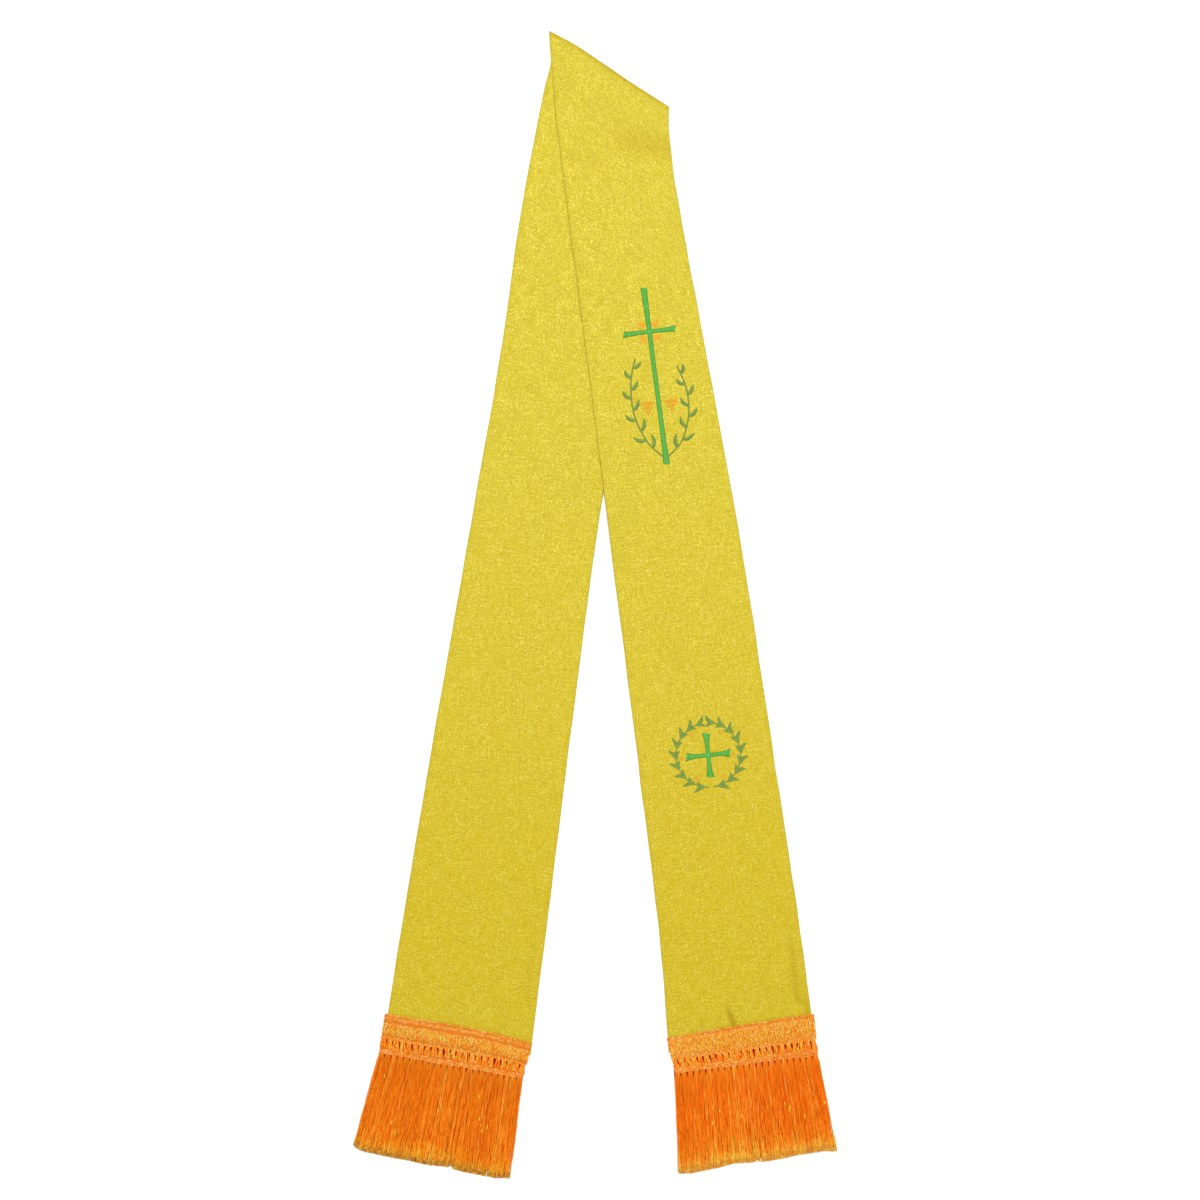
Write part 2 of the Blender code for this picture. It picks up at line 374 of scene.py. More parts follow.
def creased(creases, x, y):
    """How deep the creases are at each place."""
    total = 0.0
    for crease in creases:
        ax, ay = crease.x1 - crease.x0, crease.y1 - crease.y0
        length = math.hypot(ax, ay)
        run = ((x - crease.x0) * ax + (y - crease.y0) * ay) / length
        off = ((x - crease.x0) * ay - (y - crease.y0) * ax) / length
        beyond = np.maximum(run - length, 0.0)
        side = np.exp(-((off / crease.wide) ** 2) - (beyond / crease.wide) ** 2)
        total = total + crease.deep * ease(run / length * CREASE_GROWTH) * side
    return total


def front_relief(x, y):
    """How deep the front band is creased, and how far its top stands up or down from even cloth."""
    fold = creased(FRONT_CREASES, x, y) - creased(FRONT_RIDGES, x, y)
    return fold, WAVE * ripple(x, y, 3, WAVE_SIZE) - fold


def back_relief(x, y):
    """The same for the back band, which is no thicker anywhere, because the front one may cover it."""
    fold = creased(BACK_CREASES, x, y)
    return fold, np.minimum(WAVE * ripple(x, y, 4, WAVE_SIZE) - fold, BACK_RISE)


print("depth of the pucker at the front hem, mm:", front_relief(124.4, -512.0)[0].round(2))

# %% How high each band lies
# The front band stays level this far past the back one's edge, then comes down over a ramp
PLATEAU = 12.0
RAMP = 25.0

# The neck fold springs up this much, at its highest and until these distances from the seam
SPRING = 2.2
SPRING_PEAK = 16.0
SPRING_END = 75.0
EDGE_LIES = 22.0

# A place on a band's flat part, for what doesn't depend on the seam and the edges
FAR_FROM_SEAM = 400.0
FAR_FROM_EDGE = 50.0


def front_heights(x, y, distance, inside):
    """Underside and top of the front band, over the back one and then down to the table.

    The neck fold springs open in its middle, while the band's long edges lie down.
    """
    seam = FRONT_SECTIONS[0]
    beyond = (x * seam.right_y - y * seam.right_x) / math.hypot(seam.right_x, seam.right_y)
    lift = (CLOTH_THICK + GAP) * (1 - ease((beyond - PLATEAU) / RAMP))
    fall = 1 - ease((distance - SPRING_PEAK) / (SPRING_END - SPRING_PEAK))
    low = lift + SPRING * ease(distance / SPRING_PEAK) * fall * ease(inside / EDGE_LIES)
    return low, low + CLOTH_THICK


def back_heights(x, *_):
    """Underside and top of the back band, flat on the table."""
    return np.zeros_like(x), np.full_like(x, CLOTH_THICK)


print("front band's top at the fork, mm:", front_heights(0.0, 0.0, FAR_FROM_SEAM, 0.0)[1].round(2))


# %% Smooth edges, and rows that crowd into a round edge
EDGE_STEPS = 4
FIRST_ROUND = 0.12


def edges_of(sections):
    """Smooth edges through the sections: a function of the distance from the neck seam, and the length."""
    rows = np.array(sections)
    middle = (rows[:, :2] + rows[:, 2:]) / 2
    steps = np.linalg.norm(np.diff(middle, axis=0), axis=1)
    along = np.concatenate([[0.0], np.cumsum(steps)])
    slopes = np.diff(rows, axis=0) / steps[:, None]
    tangents = np.concatenate([slopes[:1], slopes])
    before, after = steps[:-1, None], steps[1:, None]
    tangents[1:-1] = (slopes[:-1] * after + slopes[1:] * before) / (before + after)

    def at(distances):
        row = np.clip(np.searchsorted(along, distances) - 1, 0, len(steps) - 1)
        step = steps[row][:, None]
        share = (distances - along[row])[:, None] / step
        mixed = (
            (2 * share**3 - 3 * share**2 + 1) * rows[row]
            + (share**3 - 2 * share**2 + share) * step * tangents[row]
            + (3 * share**2 - 2 * share**3) * rows[row + 1]
            + (share**3 - share**2) * step * tangents[row + 1]
        )
        return mixed[:, :2], mixed[:, 2:]

    return at, along[-1]


def rounded(length, step, radius):
    """Places from 0 to length that crowd into a quarter round at both ends, and how full the round is."""
    quarter = np.linspace(FIRST_ROUND, 1.0, EDGE_STEPS + 1) * math.pi / 2
    inset = radius * (1 - np.cos(quarter))
    count = max(int((length - 2 * radius) / step), 2)
    inner = np.linspace(radius, length - radius, count + 1)[1:-1]
    places = np.concatenate([inset, inner, length - inset[::-1]])
    full = np.concatenate([np.sin(quarter), np.ones(len(inner)), np.sin(quarter[::-1])])
    return places, full


def outward(section):
    """The way that the neck seam faces, square to it and away from the bands."""
    way = np.array([section.left_y - section.right_y, section.right_x - section.left_x])
    return way / np.linalg.norm(way)


print("front band's length along its middle, mm:", edges_of(FRONT_SECTIONS)[1].round(1))

# %% Relief of the sewing: grooves, the turned edge and the rolled neck seam
GROOVE_DEPTH = 0.3
EDGE_GROOVE = 2.7
EDGE_GROOVE_WIDE = 0.8
SEAM_GROOVE = 4.2
SEAM_GROOVE_WIDE = 1.1
ALLOWANCE = 11.0
ALLOWANCE_RISE = 0.12
ALLOWANCE_FADE = 2.0
ROLL = 6.0
ROLL_DROP = 0.35
UNDER_HEADING = 11.0
HEADING_FADE = 3.0

Band = namedtuple("Band", "name sections heights relief seam_share slot seed")
FRONT_BAND = Band("front_cloth", FRONT_SECTIONS, front_heights, front_relief, 0.0, "front_band", 11)
BACK_BAND = Band("back_cloth", BACK_SECTIONS, back_heights, back_relief, 1.0, "back_band", 10)


def groove(distance, place, wide):
    return np.exp(-(((distance - place) / wide) ** 2))


def sewn_heights(band, x, y, distance, inside, length):
    """Underside, top and crease depth of a band's cloth, before its edges are rounded."""
    low, high = band.heights(x, y, distance, inside)
    fold, relief = band.relief(x, y)
    free = ease((length - UNDER_HEADING - distance) / HEADING_FADE)
    high = high + np.minimum(relief, 0.0) + np.maximum(relief, 0.0) * free
    high = high + ALLOWANCE_RISE * (1 - ease((inside - ALLOWANCE + ALLOWANCE_FADE / 2) / ALLOWANCE_FADE))
    edge_groove = groove(inside, EDGE_GROOVE, EDGE_GROOVE_WIDE)
    seam_groove = groove(distance, SEAM_GROOVE, SEAM_GROOVE_WIDE)
    high = high - GROOVE_DEPTH * (edge_groove + seam_groove)
    high = high - ROLL_DROP * (1 - ease(distance / ROLL))
    return low, high, fold


print("bands:", FRONT_BAND.name, BACK_BAND.name)

# %% Loft a band's cloth
COLUMN_STEP = 2.1
ROW_STEP = 2.3
SEAM_BOW = 2.0
BOW_REACH = 26.0
EDGE_ROUND = 2.2
EDGE_SEAT = 0.1
EDGE_WAVE = 0.4
EDGE_WAVE_SIZE = 36.0
HEM_CLOSES_AT = 0.5


def band_cloth(band, finish):
    """A band's shell. Its neck end closes at a share of its thickness, so that the two bands' ends meet.

    The turned long edges are pressed, so they thin out and close low down, and they waver a little.
    """
    at, length = edges_of(band.sections)
    rows, row_full = rounded(length, ROW_STEP, CLOTH_THICK / 2)
    left, right = at(rows)
    width = np.linalg.norm(right - left, axis=1)
    shares, full = rounded(width.mean(), COLUMN_STEP, EDGE_ROUND)
    shares = shares / width.mean()
    points = left[:, None, :] + (right - left)[:, None, :] * shares[None, :, None]
    bow = SEAM_BOW * np.sin(np.pi * np.sqrt(shares)) ** 4 * (1 - ease(rows / BOW_REACH))[:, None]
    points = points + bow[..., None] * outward(band.sections[0])
    y = points[..., 1]
    x = points[..., 0] + EDGE_WAVE * ripple(rows, rows * 0, band.seed, EDGE_WAVE_SIZE)[:, None]
    distance = np.broadcast_to(rows[:, None], x.shape)
    inside = np.minimum(shares, 1 - shares)[None, :] * width[:, None]
    low, high, fold = sewn_heights(band, x, y, distance, inside, length)
    close_at = low + (high - low) * np.where(distance < length / 2, band.seam_share, HEM_CLOSES_AT)
    high = close_at + (high - close_at) * row_full[:, None]
    low = close_at - (close_at - low) * row_full[:, None]
    seat = low + (high - low) * EDGE_SEAT
    top = seat + (high - seat) * full[None, :]
    under = seat - (seat - low) * full[None, :]
    place = np.stack([shares[None, :] * width[:, None], distance, inside], axis=-1)
    # The crease depth is carried along for the painted shade in the creases
    folded = np.stack([fold, fold * 0, fold * 0], axis=-1)
    shell = both_sides(np.dstack([x, y, top]), np.dstack([x, y, under]))
    numbers = {
        "cloth": both_sides(place, place).reshape(-1, 3),
        "fold": both_sides(folded, folded).reshape(-1, 3),
    }
    faces = tube_faces(1, len(rows), shell.shape[1])
    made = make_piece(band.name, shell.reshape(-1, 3), faces, finish, numbers)
    area = float(((width[1:] + width[:-1]) / 2 * np.diff(rows)).sum())
    return made, (float(length), float(width.max()), area)


# %% [markdown]
# The brocade's colour is not even. Seen closely it is a fine grid of warp and weft, where a flat metallic
# thread comes up as a pale speck, partly its own colour and partly painted sparkle, beside darker spots of
# painted shade in the hollows between threads. A smooth noise would look like fleece, so the grid is real:
# each crossing of a warp with a weft gets one chance number of its own, and some yarns are paler than others
# all along. A broad noise, drawn out across the band as the weft is, sets how lively the specks are, and they
# calm down a little towards the hem. A few crossings carry a painted glint. The ground colour grows darker
# and stronger towards the hem. All of it is read in the cloth's own millimetres, so the weave runs down the
# band.
# Inside a crease, in the groove just inside each turned edge and along the rolled neck seam, painted shade
# makes the cloth a little darker and stronger in colour.

# %% Finish of the brocade
CROSSINGS_PER_MM = 1.7
BAND_LENGTH = 940.0
GOLD_AT_NECK = dye(199, 182, 50)
GOLD_AT_HEM = dye(198, 174, 28)
# Painted shade: the colour that creases, edge grooves and the rolled neck seam are darkened towards
GOLD_IN_PAINTED_SHADE = dye(170, 138, 12)
# Painted shade in the hollows, the pale thread with its painted sparkle, and a painted glint
THREAD_HOLLOW_SHADE = dye(158, 132, 4)
THREAD_PALE_AND_SPARKLE = dye(236, 222, 96)
THREAD_PAINTED_GLINT = dye(255, 248, 190)


def weave(finish, cloth, toward_hem):
    """Pale specks (own colour with painted sparkle), dark specks (painted shade), painted glints, and relief.
    """
    warp = finish.noise(finish.stretched(cloth, (1.0, 0.05, 0.0)), 1.3, 1.0)
    weft = finish.noise(finish.stretched(cloth, (0.05, 1.0, 0.0)), 1.3, 1.0)
    counted = finish.stretched(cloth, (CROSSINGS_PER_MM, CROSSINGS_PER_MM, 0.0))
    crossing = finish.node("ShaderNodeVectorMath", {"operation": "FLOOR"}, {0: counted})
    speck = finish.node("ShaderNodeTexWhiteNoise", {"noise_dimensions": "2D"}, {"Vector": crossing})
    grain = speck + warp * 0.7 + weft * 0.9 - 1.3
    drawn = finish.stretched(cloth, (0.45, 1.0, 0.0))
    lively = finish.noise(drawn, 0.085, 1.0).clamped(0.36, 0.62) * 0.22 + 0.7
    lively = lively * (0.84 - toward_hem * 0.08)
    pale = grain.clamped(0.08, 0.55) * lively
    dark = (0.0 - grain).clamped(0.08, 0.55) * lively
    glint = speck.clamped(0.955, 0.965) * lively * 0.66
    return pale, dark, glint, warp + weft


def brocade():
    finish = Finish(
        "gold_brocade",
        Specular_IOR_Level=0.2,
        Specular_Tint=(1.0, 0.86, 0.4, 1.0),
        Sheen_Weight=0.05,
        Sheen_Tint=(1.0, 0.8, 0.2, 1.0),
    )
    cloth, _, along, inside = finish.attribute("cloth")
    _, fold, _, _ = finish.attribute("fold")
    toward_hem = (along / BAND_LENGTH).clamped(0.0, 1.0)
    pale, dark, glint, relief = weave(finish, cloth, toward_hem)
    # Darker and stronger in colour towards the hem
    ground = finish.blend(toward_hem * toward_hem, GOLD_AT_NECK, GOLD_AT_HEM)
    # Dark specks are painted shade in the hollows, pale specks add painted sparkle, and glints are painted
    ground = finish.blend(dark * 0.68, ground, THREAD_HOLLOW_SHADE)
    ground = finish.blend(pale * 0.68, ground, THREAD_PALE_AND_SPARKLE)
    ground = finish.blend(glint * 0.6, ground, THREAD_PAINTED_GLINT)
    # Painted shade in the groove inside each turned edge, along the rolled neck seam and in the creases
    line = (1 - abs(inside - EDGE_GROOVE) / 1.4).clamped(0.0, 1.0)
    neck_roll_shade = 1 - (along / ROLL).clamped(0.3, 1.0)
    crease = fold.clamped(0.1, 1.6)
    ground = finish.blend(line * 0.08 + neck_roll_shade * 0.45 + crease * 0.75, ground, GOLD_IN_PAINTED_SHADE)
    finish.surface(
        Base_Color=ground,
        Roughness=0.62 - pale * 0.2,
        Metallic=0.08 + pale * 0.15,
        Normal=finish.bump(relief, 0.2, 0.6),
    )
    return finish


# %% Make the two bands
gold_brocade = brocade()
front_cloth, front_cut = band_cloth(FRONT_BAND, gold_brocade)
back_cloth, back_cut = band_cloth(BACK_BAND, gold_brocade)
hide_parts("front_band")
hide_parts("back_band")
print("front cut (length, width, area) in mm:", np.round(front_cut, 1))
print("back cut (length, width, area) in mm:", np.round(back_cut, 1))

# %% [markdown]
# ## The heading of the fringe
#
# A fringe is bought by the metre. Its heading is knitted: chains of loops run along it, and between them
# yarn lies in slanting stitches. Lower down the yarns are gathered into short bars with open slits between
# them, and a last braid holds the strands. A picture on a flat strip would look right from above only, so
# every stitch here is a short swept yarn, and a thin ground lies under them to close the gaps.

# %% The two fringes, as they lie
# A fringe's rows, how its heading arches and is sewn, how wide its slits open, and where the scissors went
Fringe = namedtuple("Fringe", "name top foot tips arch chains braid bare dull slit notch cut seed")
FRONT_FRINGE = Fringe(
    name="front",
    top=Section(60.0, -523.6, 201.6, -500.6),
    foot=Section(68.6, -561.6, 205.9, -544.3),
    tips=Section(71.4, -653.6, 223.4, -631.6),
    arch=0.5,
    chains=(0.9, 2.9, 5.9, 19.2, 21.6),
    braid=(31.5, 33.1, 34.7),
    bare=0,
    dull=1.0,
    slit=0.76,
    notch=0.50,
    cut=[
        (0.0, 0.0), (0.02, 0.9), (0.08, 1.9), (0.14, 1.5), (0.24, 0.6), (0.35, -1.4), (0.42, -0.6),
        (0.52, 1.0), (0.66, 0.6), (0.75, -0.6), (0.92, -0.8), (0.98, 0.8), (1.0, 0.6),
    ],
    seed=7,
)
BACK_FRINGE = Fringe(
    name="back",
    top=Section(-210.2, -500.2, -68.6, -529.0),
    foot=Section(-216.5, -541.4, -78.7, -565.4),
    tips=Section(-241.0, -629.4, -90.2, -658.3),
    arch=2.6,
    chains=(0.9, 2.9, 4.6, 8.4, 21.6),
    braid=(32.4, 33.9, 35.4),
    bare=2,
    dull=1.8,
    slit=0.62,
    notch=0.62,
    cut=[
        (0.0, -3.0), (0.02, -0.4), (0.05, 0.9), (0.1, 1.7), (0.2, 2.1), (0.35, 2.0), (0.48, 2.6),
        (0.58, 1.0), (0.7, 2.6), (0.9, 2.8), (0.96, 1.2), (1.0, -0.5),
    ],
    seed=11,
)
print("front fringe's top edge, mm:", FRONT_FRINGE.top)

# %% Places on a heading
HEADING_HEIGHT = 39.0
HEADING_WIDTH = 141.0
COVER_SHARE = 0.40
LANDED_SHARE = 0.56
WAVER = 0.35
WAVER_SIZE = 26.0
BARS = 23
BAR_STEP = HEADING_WIDTH / BARS
BARS_TOP = 22.4
BARS_FOOT = 31.4


def between(section, share):
    """Points at shares of the way from a section's left end to its right end."""
    left, right = np.array(section[:2]), np.array(section[2:])
    return left + (right - left) * np.asarray(share)[..., None]


def on_heading(fringe, across, down, height):
    """Points on a heading from millimetres across it, down it and above its underside."""
    across, down, height = np.broadcast_arrays(across, down, height)
    waver = WAVER * ripple(across, down * 3, fringe.seed, WAVER_SIZE)
    share_down = (down + waver) / HEADING_HEIGHT
    share_across = across / HEADING_WIDTH
    top, foot = between(fringe.top, share_across), between(fringe.foot, share_across)
    arch = fringe.arch * np.sin(math.pi * np.clip(share_across, 0, 1) ** 1.5) * (1 - share_down)
    drop = foot - top
    flat = top + drop * share_down[..., None] - drop / HEADING_HEIGHT * arch[..., None]
    lift = (CLOTH_THICK + GAP) * (1 - ease((share_down - COVER_SHARE) / (LANDED_SHARE - COVER_SHARE)))
    return np.concatenate([flat, (lift + height)[..., None]], axis=-1)


print("heading's left corner, mm:", on_heading(FRONT_FRINGE, 0.0, 0.0, 0.0).round(1))

# %% Chains
YARN = 0.46
CHAIN_STEP = 1.75
CHAIN_WIDE = 1.4
CHAIN_HIGH = 0.95
CHAIN_ARCH = 0.35
CHAIN_JITTER = 0.08
LEG_REACH = 1.25
LEGS_MEET = 0.85
BRAID_HIGH = 1.05


def chain_paths(fringe, down, high, chance):
    """Two rows of legs that lean together, as the loops of a chain do."""
    start = np.arange(0.3, HEADING_WIDTH - CHAIN_STEP, CHAIN_STEP)
    leg = np.linspace(0, 1, 4)
    paths = []
    for side in (-1, 1):
        jitter = chance.normal(0, CHAIN_JITTER, (len(start), 1))
        across = start[:, None] + leg * CHAIN_STEP * LEG_REACH + jitter
        row = down + side * CHAIN_WIDE / 2 * (1 - leg**1.5 * LEGS_MEET) + jitter
        height = high + CHAIN_ARCH * np.sin(leg * math.pi) + jitter
        paths.append(on_heading(fringe, across, row, height))
    return np.concatenate(paths)


print("legs in a chain:", 2 * len(np.arange(0.3, HEADING_WIDTH - CHAIN_STEP, CHAIN_STEP)))

# %% Slanting stitches on a thin ground
GROUND = 0.8
GROUND_UNDER = 0.05
GROUND_EDGE = 0.3
STITCH_STEP = 1.28
STITCH_MISSED = 0.07
STITCH_JITTER = 0.2
STITCH_ARCH = 0.5
HEADING_EDGE = 0.35

# Each course of slanting stitches: its top and foot, its lean to the right, and how golden it is
Course = namedtuple("Course", "top foot lean gilt")
COURSES = [
    Course(3.2, 5.8, 1.0, 1.0),
    Course(6.2, 8.8, -1.0, 1.0),
    Course(8.5, 11.0, 1.0, 1.0),
    Course(10.7, 13.2, -1.1, 1.0),
    Course(12.9, 15.4, 1.1, 1.0),
    Course(15.1, 17.4, -1.0, 0.75),
    Course(17.1, 19.2, 1.0, 0.6),
    Course(19.4, 21.6, -0.9, 0.4),
]


def course_paths(fringe, course, chance):
    """A row of slanting stitches that arch from chain to chain."""
    middle = np.arange(0.8, HEADING_WIDTH - 0.6, STITCH_STEP)
    run = np.linspace(0, 1, 5)
    middle = middle[chance.random(len(middle)) > STITCH_MISSED]
    jitter = chance.normal(0, STITCH_JITTER, (len(middle), 1))
    across = middle[:, None] + (course.lean + jitter) * (run - 0.5) + jitter
    down = course.top + (course.foot - course.top) * run + jitter * 0.8
    height = GROUND + 0.1 + (STITCH_ARCH + jitter) * np.sin(run * math.pi)
    across = np.clip(across, HEADING_EDGE, HEADING_WIDTH - HEADING_EDGE)
    return on_heading(fringe, across, down, height)


def ground_plate(fringe, finish):
    """The thin knitted ground under the stitches, from the heading's top edge to the bars."""
    across = np.linspace(GROUND_EDGE, HEADING_WIDTH - GROUND_EDGE, 48)[:, None]
    down = np.linspace(0.4, BARS_TOP, 20)[None, :]
    top = on_heading(fringe, across, down, GROUND)
    shell = both_sides(top, on_heading(fringe, across, down, GROUND_UNDER))
    points = shell.reshape(-1, 3)
    faces = tube_faces(1, *shell.shape[:2])
    label = f"{fringe.name}_ground"
    return make_piece(label, points, faces, finish, {"thread": np.zeros_like(points)})


def yarn_piece(name, fringe, paths, thick, finish, sides, chance=None):
    """A piece of many yarns, named for its fringe."""
    points, faces, carried = sweep(paths, thick, sides, chance)
    return make_piece(f"{fringe.name}_{name}", points, faces, finish, {"thread": carried})


# %% [markdown]
# Below the knitted part the yarns gather into bars. Each bar is a handful of yarns that start side by side
# at the ground, draw together just below it and close up again towards the braid, so a slit is a small drop,
# widest at its top. The drops differ in size, because the slits on a real fringe never match, and short
# stitches lie over the bars as they do over the ground.

# %% The open bars
BAR_YARNS = 7
BAR_STITCHES = 9
DROP_FOOT = 0.85
BAR_LEAN = 0.9
BAR_SWAY = 0.15
YARN_SWAP = 0.3
BAR_HEIGHT = 0.62
BAR_ARCH = 0.25
BAR_PILE = 0.5


def bar_paths(fringe, chance):
    """Yarns by stations, for each bar in turn."""
    bar = np.arange(BARS)[:, None, None]
    yarn = ((np.arange(BAR_YARNS) + 0.5) / BAR_YARNS - 0.5)[None, :, None]
    run = np.linspace(0, 1, 9)[None, None, :]
    drop = ease(run * 5) * np.maximum(1 - run / DROP_FOOT, 0.0) ** 1.2
    waist = 1.0 - fringe.slit * drop * chance.uniform(0.4, 1.1, (BARS, 1, 1))
    sway = chance.normal(0, BAR_SWAY, (BARS, 1, 1)) * np.sin(run * math.pi) + BAR_LEAN * (run - 0.5)
    swap = chance.normal(0, YARN_SWAP, (BARS, BAR_YARNS, 1)) * np.sin(run * math.pi)
    across = (bar + 0.5 + yarn * waist) * BAR_STEP + sway + swap
    down = BARS_TOP - 0.6 + (BARS_FOOT - BARS_TOP + 0.9) * run + across * 0
    pile = chance.uniform(0, BAR_PILE, (BARS, BAR_YARNS, 1))
    height = BAR_HEIGHT + (BAR_ARCH + pile) * np.sin(run * math.pi) + across * 0
    paths = on_heading(fringe, across, down, height)
    return paths.reshape(-1, run.size, 3)


def bar_stitch_paths(bars, chance):
    """Short stitches that follow the bars' yarns and lie on top of them."""
    count = BARS * BAR_STITCHES
    chosen = bars[chance.choice(len(bars), count)]
    start = chance.integers(0, bars.shape[1] - 2, count)
    rows = np.arange(count)[:, None]
    paths = chosen[rows, start[:, None] + np.arange(3)]
    lean = chance.normal(0, 0.25, (count, 1)) * np.linspace(-1, 1, 3)
    paths[..., 0] += lean
    paths[..., 2] += 0.35 + 0.3 * np.sin(np.linspace(0, math.pi, 3))
    return paths


print("yarns in the bars of one heading:", BARS * BAR_YARNS)


# %% Finishes of the heading
def knitted_yarn(name, shade, bright, glint, glint_share):
    """Rayon yarn with a twist across it, a shade of its own, and stitches of metallic thread with a painted
    glint.
    """
    finish = Finish(name, Specular_IOR_Level=0.2, Specular_Tint=(1.0, 0.62, 0.2, 1.0))
    _, along, chance, around = finish.attribute("thread")
    place = finish.node("ShaderNodeNewGeometry", {}, {}, "Position")
    fibres = finish.noise(place, 1100.0, 2.0)
    twist = (along * 16.0 + around * 1.6 + chance * 6.0).sine() * 0.5 + 0.5
    yarn = finish.blend(twist * 0.2 + fibres * 0.2 + chance * 0.6, shade, bright)
    # Painted glint: a share of stitches take the pale glint colour, with a little real metallic gloss
    metal_glint = (chance * 97.3).fraction().clamped(1 - glint_share - 0.02, 1 - glint_share)
    metal_glint = metal_glint * fibres.clamped(0.4, 0.6)
    finish.surface(
        Base_Color=finish.blend(metal_glint, yarn, glint),
        Metallic=metal_glint * 0.2,
        Roughness=0.55 - metal_glint * 0.2,
        Normal=finish.bump(twist * 0.6 + fibres * 0.4, 0.09, 0.5),
    )
    return finish


stitch_yarn = knitted_yarn("heading_stitch", dye(248, 130, 24), dye(255, 214, 76), dye(255, 232, 134), 0.3)
chain_yarn = knitted_yarn("heading_chain", dye(234, 116, 22), dye(250, 184, 68), dye(255, 216, 140), 0.25)
braid_yarn = knitted_yarn("heading_braid", dye(232, 106, 18), dye(255, 176, 66), dye(255, 222, 160), 0.22)
bar_yarn = knitted_yarn("heading_bar", dye(236, 84, 4), dye(250, 156, 34), dye(255, 210, 86), 0.12)
ground_yarn = knitted_yarn("heading_ground", dye(212, 112, 28), dye(234, 158, 52), dye(240, 160, 50), 0.0)


# %% Dress the headings
def dress_heading(fringe):
    """All the pieces of one heading, and its braid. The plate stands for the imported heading."""
    chance = np.random.default_rng(fringe.seed)
    plate = ground_plate(fringe, ground_yarn)
    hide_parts(f"{fringe.name}_heading")
    chains = [chain_paths(fringe, down, CHAIN_HIGH, chance) for down in fringe.chains]
    braid = [chain_paths(fringe, down, BRAID_HIGH, chance) for down in fringe.braid]
    courses = COURSES[fringe.bare:]
    stitches = [course_paths(fringe, course, chance) for course in courses]
    gilt = [chance.random(len(row)) * course.gilt**fringe.dull for row, course in zip(stitches, courses)]
    shades = np.concatenate(gilt)
    bars = bar_paths(fringe, chance)
    specks = bar_stitch_paths(bars, chance)
    return [
        plate,
        yarn_piece("chains", fringe, np.concatenate(chains), YARN, chain_yarn, 4),
        yarn_piece("braid", fringe, np.concatenate(braid), YARN, braid_yarn, 4),
        yarn_piece("stitches", fringe, np.concatenate(stitches), YARN * 1.15, stitch_yarn, 4, chance=shades),
        yarn_piece("bars", fringe, bars, YARN * 1.15, bar_yarn, 6),
        yarn_piece("bar_stitches", fringe, specks, YARN, stitch_yarn, 4),
    ]


headings = {fringe.name: dress_heading(fringe) for fringe in (FRONT_FRINGE, BACK_FRINGE)}

# %% [markdown]
# ## The strands
#
# Each bar carries on below the braid as a bundle of shiny rayon yarns, cut off straight about 90 mm further
# down. Just under the braid the bundles are apart, with a short dark slit between them. Below that they
# spread into one layer and wander a little, and at the cut each yarn untwists into curly ends that catch a
# golden light. A particle system would make hair, but its strands can't be told where to start and to end,
# so they are paths worked out in one array: bundle by bundle at the root, and evenly along the cut.

# %% Where the scissors cut
NOTCH_DEEP = 3.0
NOTCH_WIDE = 0.011


def beyond_cut(fringe, share):
    """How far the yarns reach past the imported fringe's straight cut, in mm. The scissors wandered."""
    places, past = zip(*fringe.cut)
    notch = NOTCH_DEEP * np.exp(-(((share - fringe.notch) / NOTCH_WIDE) ** 2))
    return np.interp(share, places, past) - notch


print("yarn past the straight cut at the front's middle, mm:", beyond_cut(FRONT_FRINGE, 0.45).round(2))

# %% How the strands fan out of their bundles
STRANDS_EACH = 32
STRAND_RUN = np.linspace(0, 1, 17) ** 1.25
BUNDLE_SHARE = 0.6
ROOT_JITTER = 0.04
FANNED_AT = 0.085
TIP_WANDER = 0.012


def strand_shares(chance):
    """How far across the fringe each strand lies at each station, and where it ends on the cut."""
    count = BARS * STRANDS_EACH
    order = np.arange(count)
    bundle, place = np.divmod(order, STRANDS_EACH)
    cell = (place + 0.5) / STRANDS_EACH - 0.5 + chance.normal(0, ROOT_JITTER, count)
    root_share = ((bundle + 0.5 + cell * BUNDLE_SHARE) / BARS)[:, None]
    even_share = ((order + 0.5) / count)[:, None]
    tip_share = np.clip(even_share + chance.normal(0, TIP_WANDER, (count, 1)), 0.002, 0.998)
    fanned = root_share + (even_share - root_share) * ease(STRAND_RUN / FANNED_AT)
    return fanned + (tip_share - even_share) * STRAND_RUN, tip_share


print("stations of a strand:", STRAND_RUN.round(2))

# %% Sway and rise of the strands
LAYER_LOW = 0.55
LAYER_HIGH = 1.95
ROOT_HEIGHT = 1.0
RISE = 0.22
LOWEST = 0.45
HIGHEST = 2.3


def strand_sway(share, phase, pace):
    """How far each strand sways sideways: not at its root, and little near the fringe's sides."""
    slow = np.sin(STRAND_RUN * pace[:, :1] * math.tau + phase[:, :1]) * 0.5
    quick = np.sin(STRAND_RUN * pace[:, 1:] * 9 + phase[:, 1:]) * 0.25
    inward = np.minimum(share, 1 - share) * HEADING_WIDTH
    return (slow + quick) * ease(STRAND_RUN * 2.5) * (0.6 + STRAND_RUN) * ease(inward / 3.0 + 0.45)


def strand_heights(phase, pace, chance):
    """How high each strand lies: level at its root, in a layer of its own, and lower near the cut."""
    layer = chance.uniform(LAYER_LOW, LAYER_HIGH, len(phase))[:, None]
    rise = RISE * np.sin(STRAND_RUN * pace[:, 1:] * 7 + phase[:, 1:])
    height = np.clip(layer + rise, LOWEST, HIGHEST)
    height = ROOT_HEIGHT + (height - ROOT_HEIGHT) * ease(STRAND_RUN * 8)
    return height * (1 - 0.35 * ease((STRAND_RUN - 0.8) * 5))


# %% Paths of the strands
STRAND_THICK = 0.32
ROOT_DOWN = 34.6
UNEVEN_CUT = 0.45


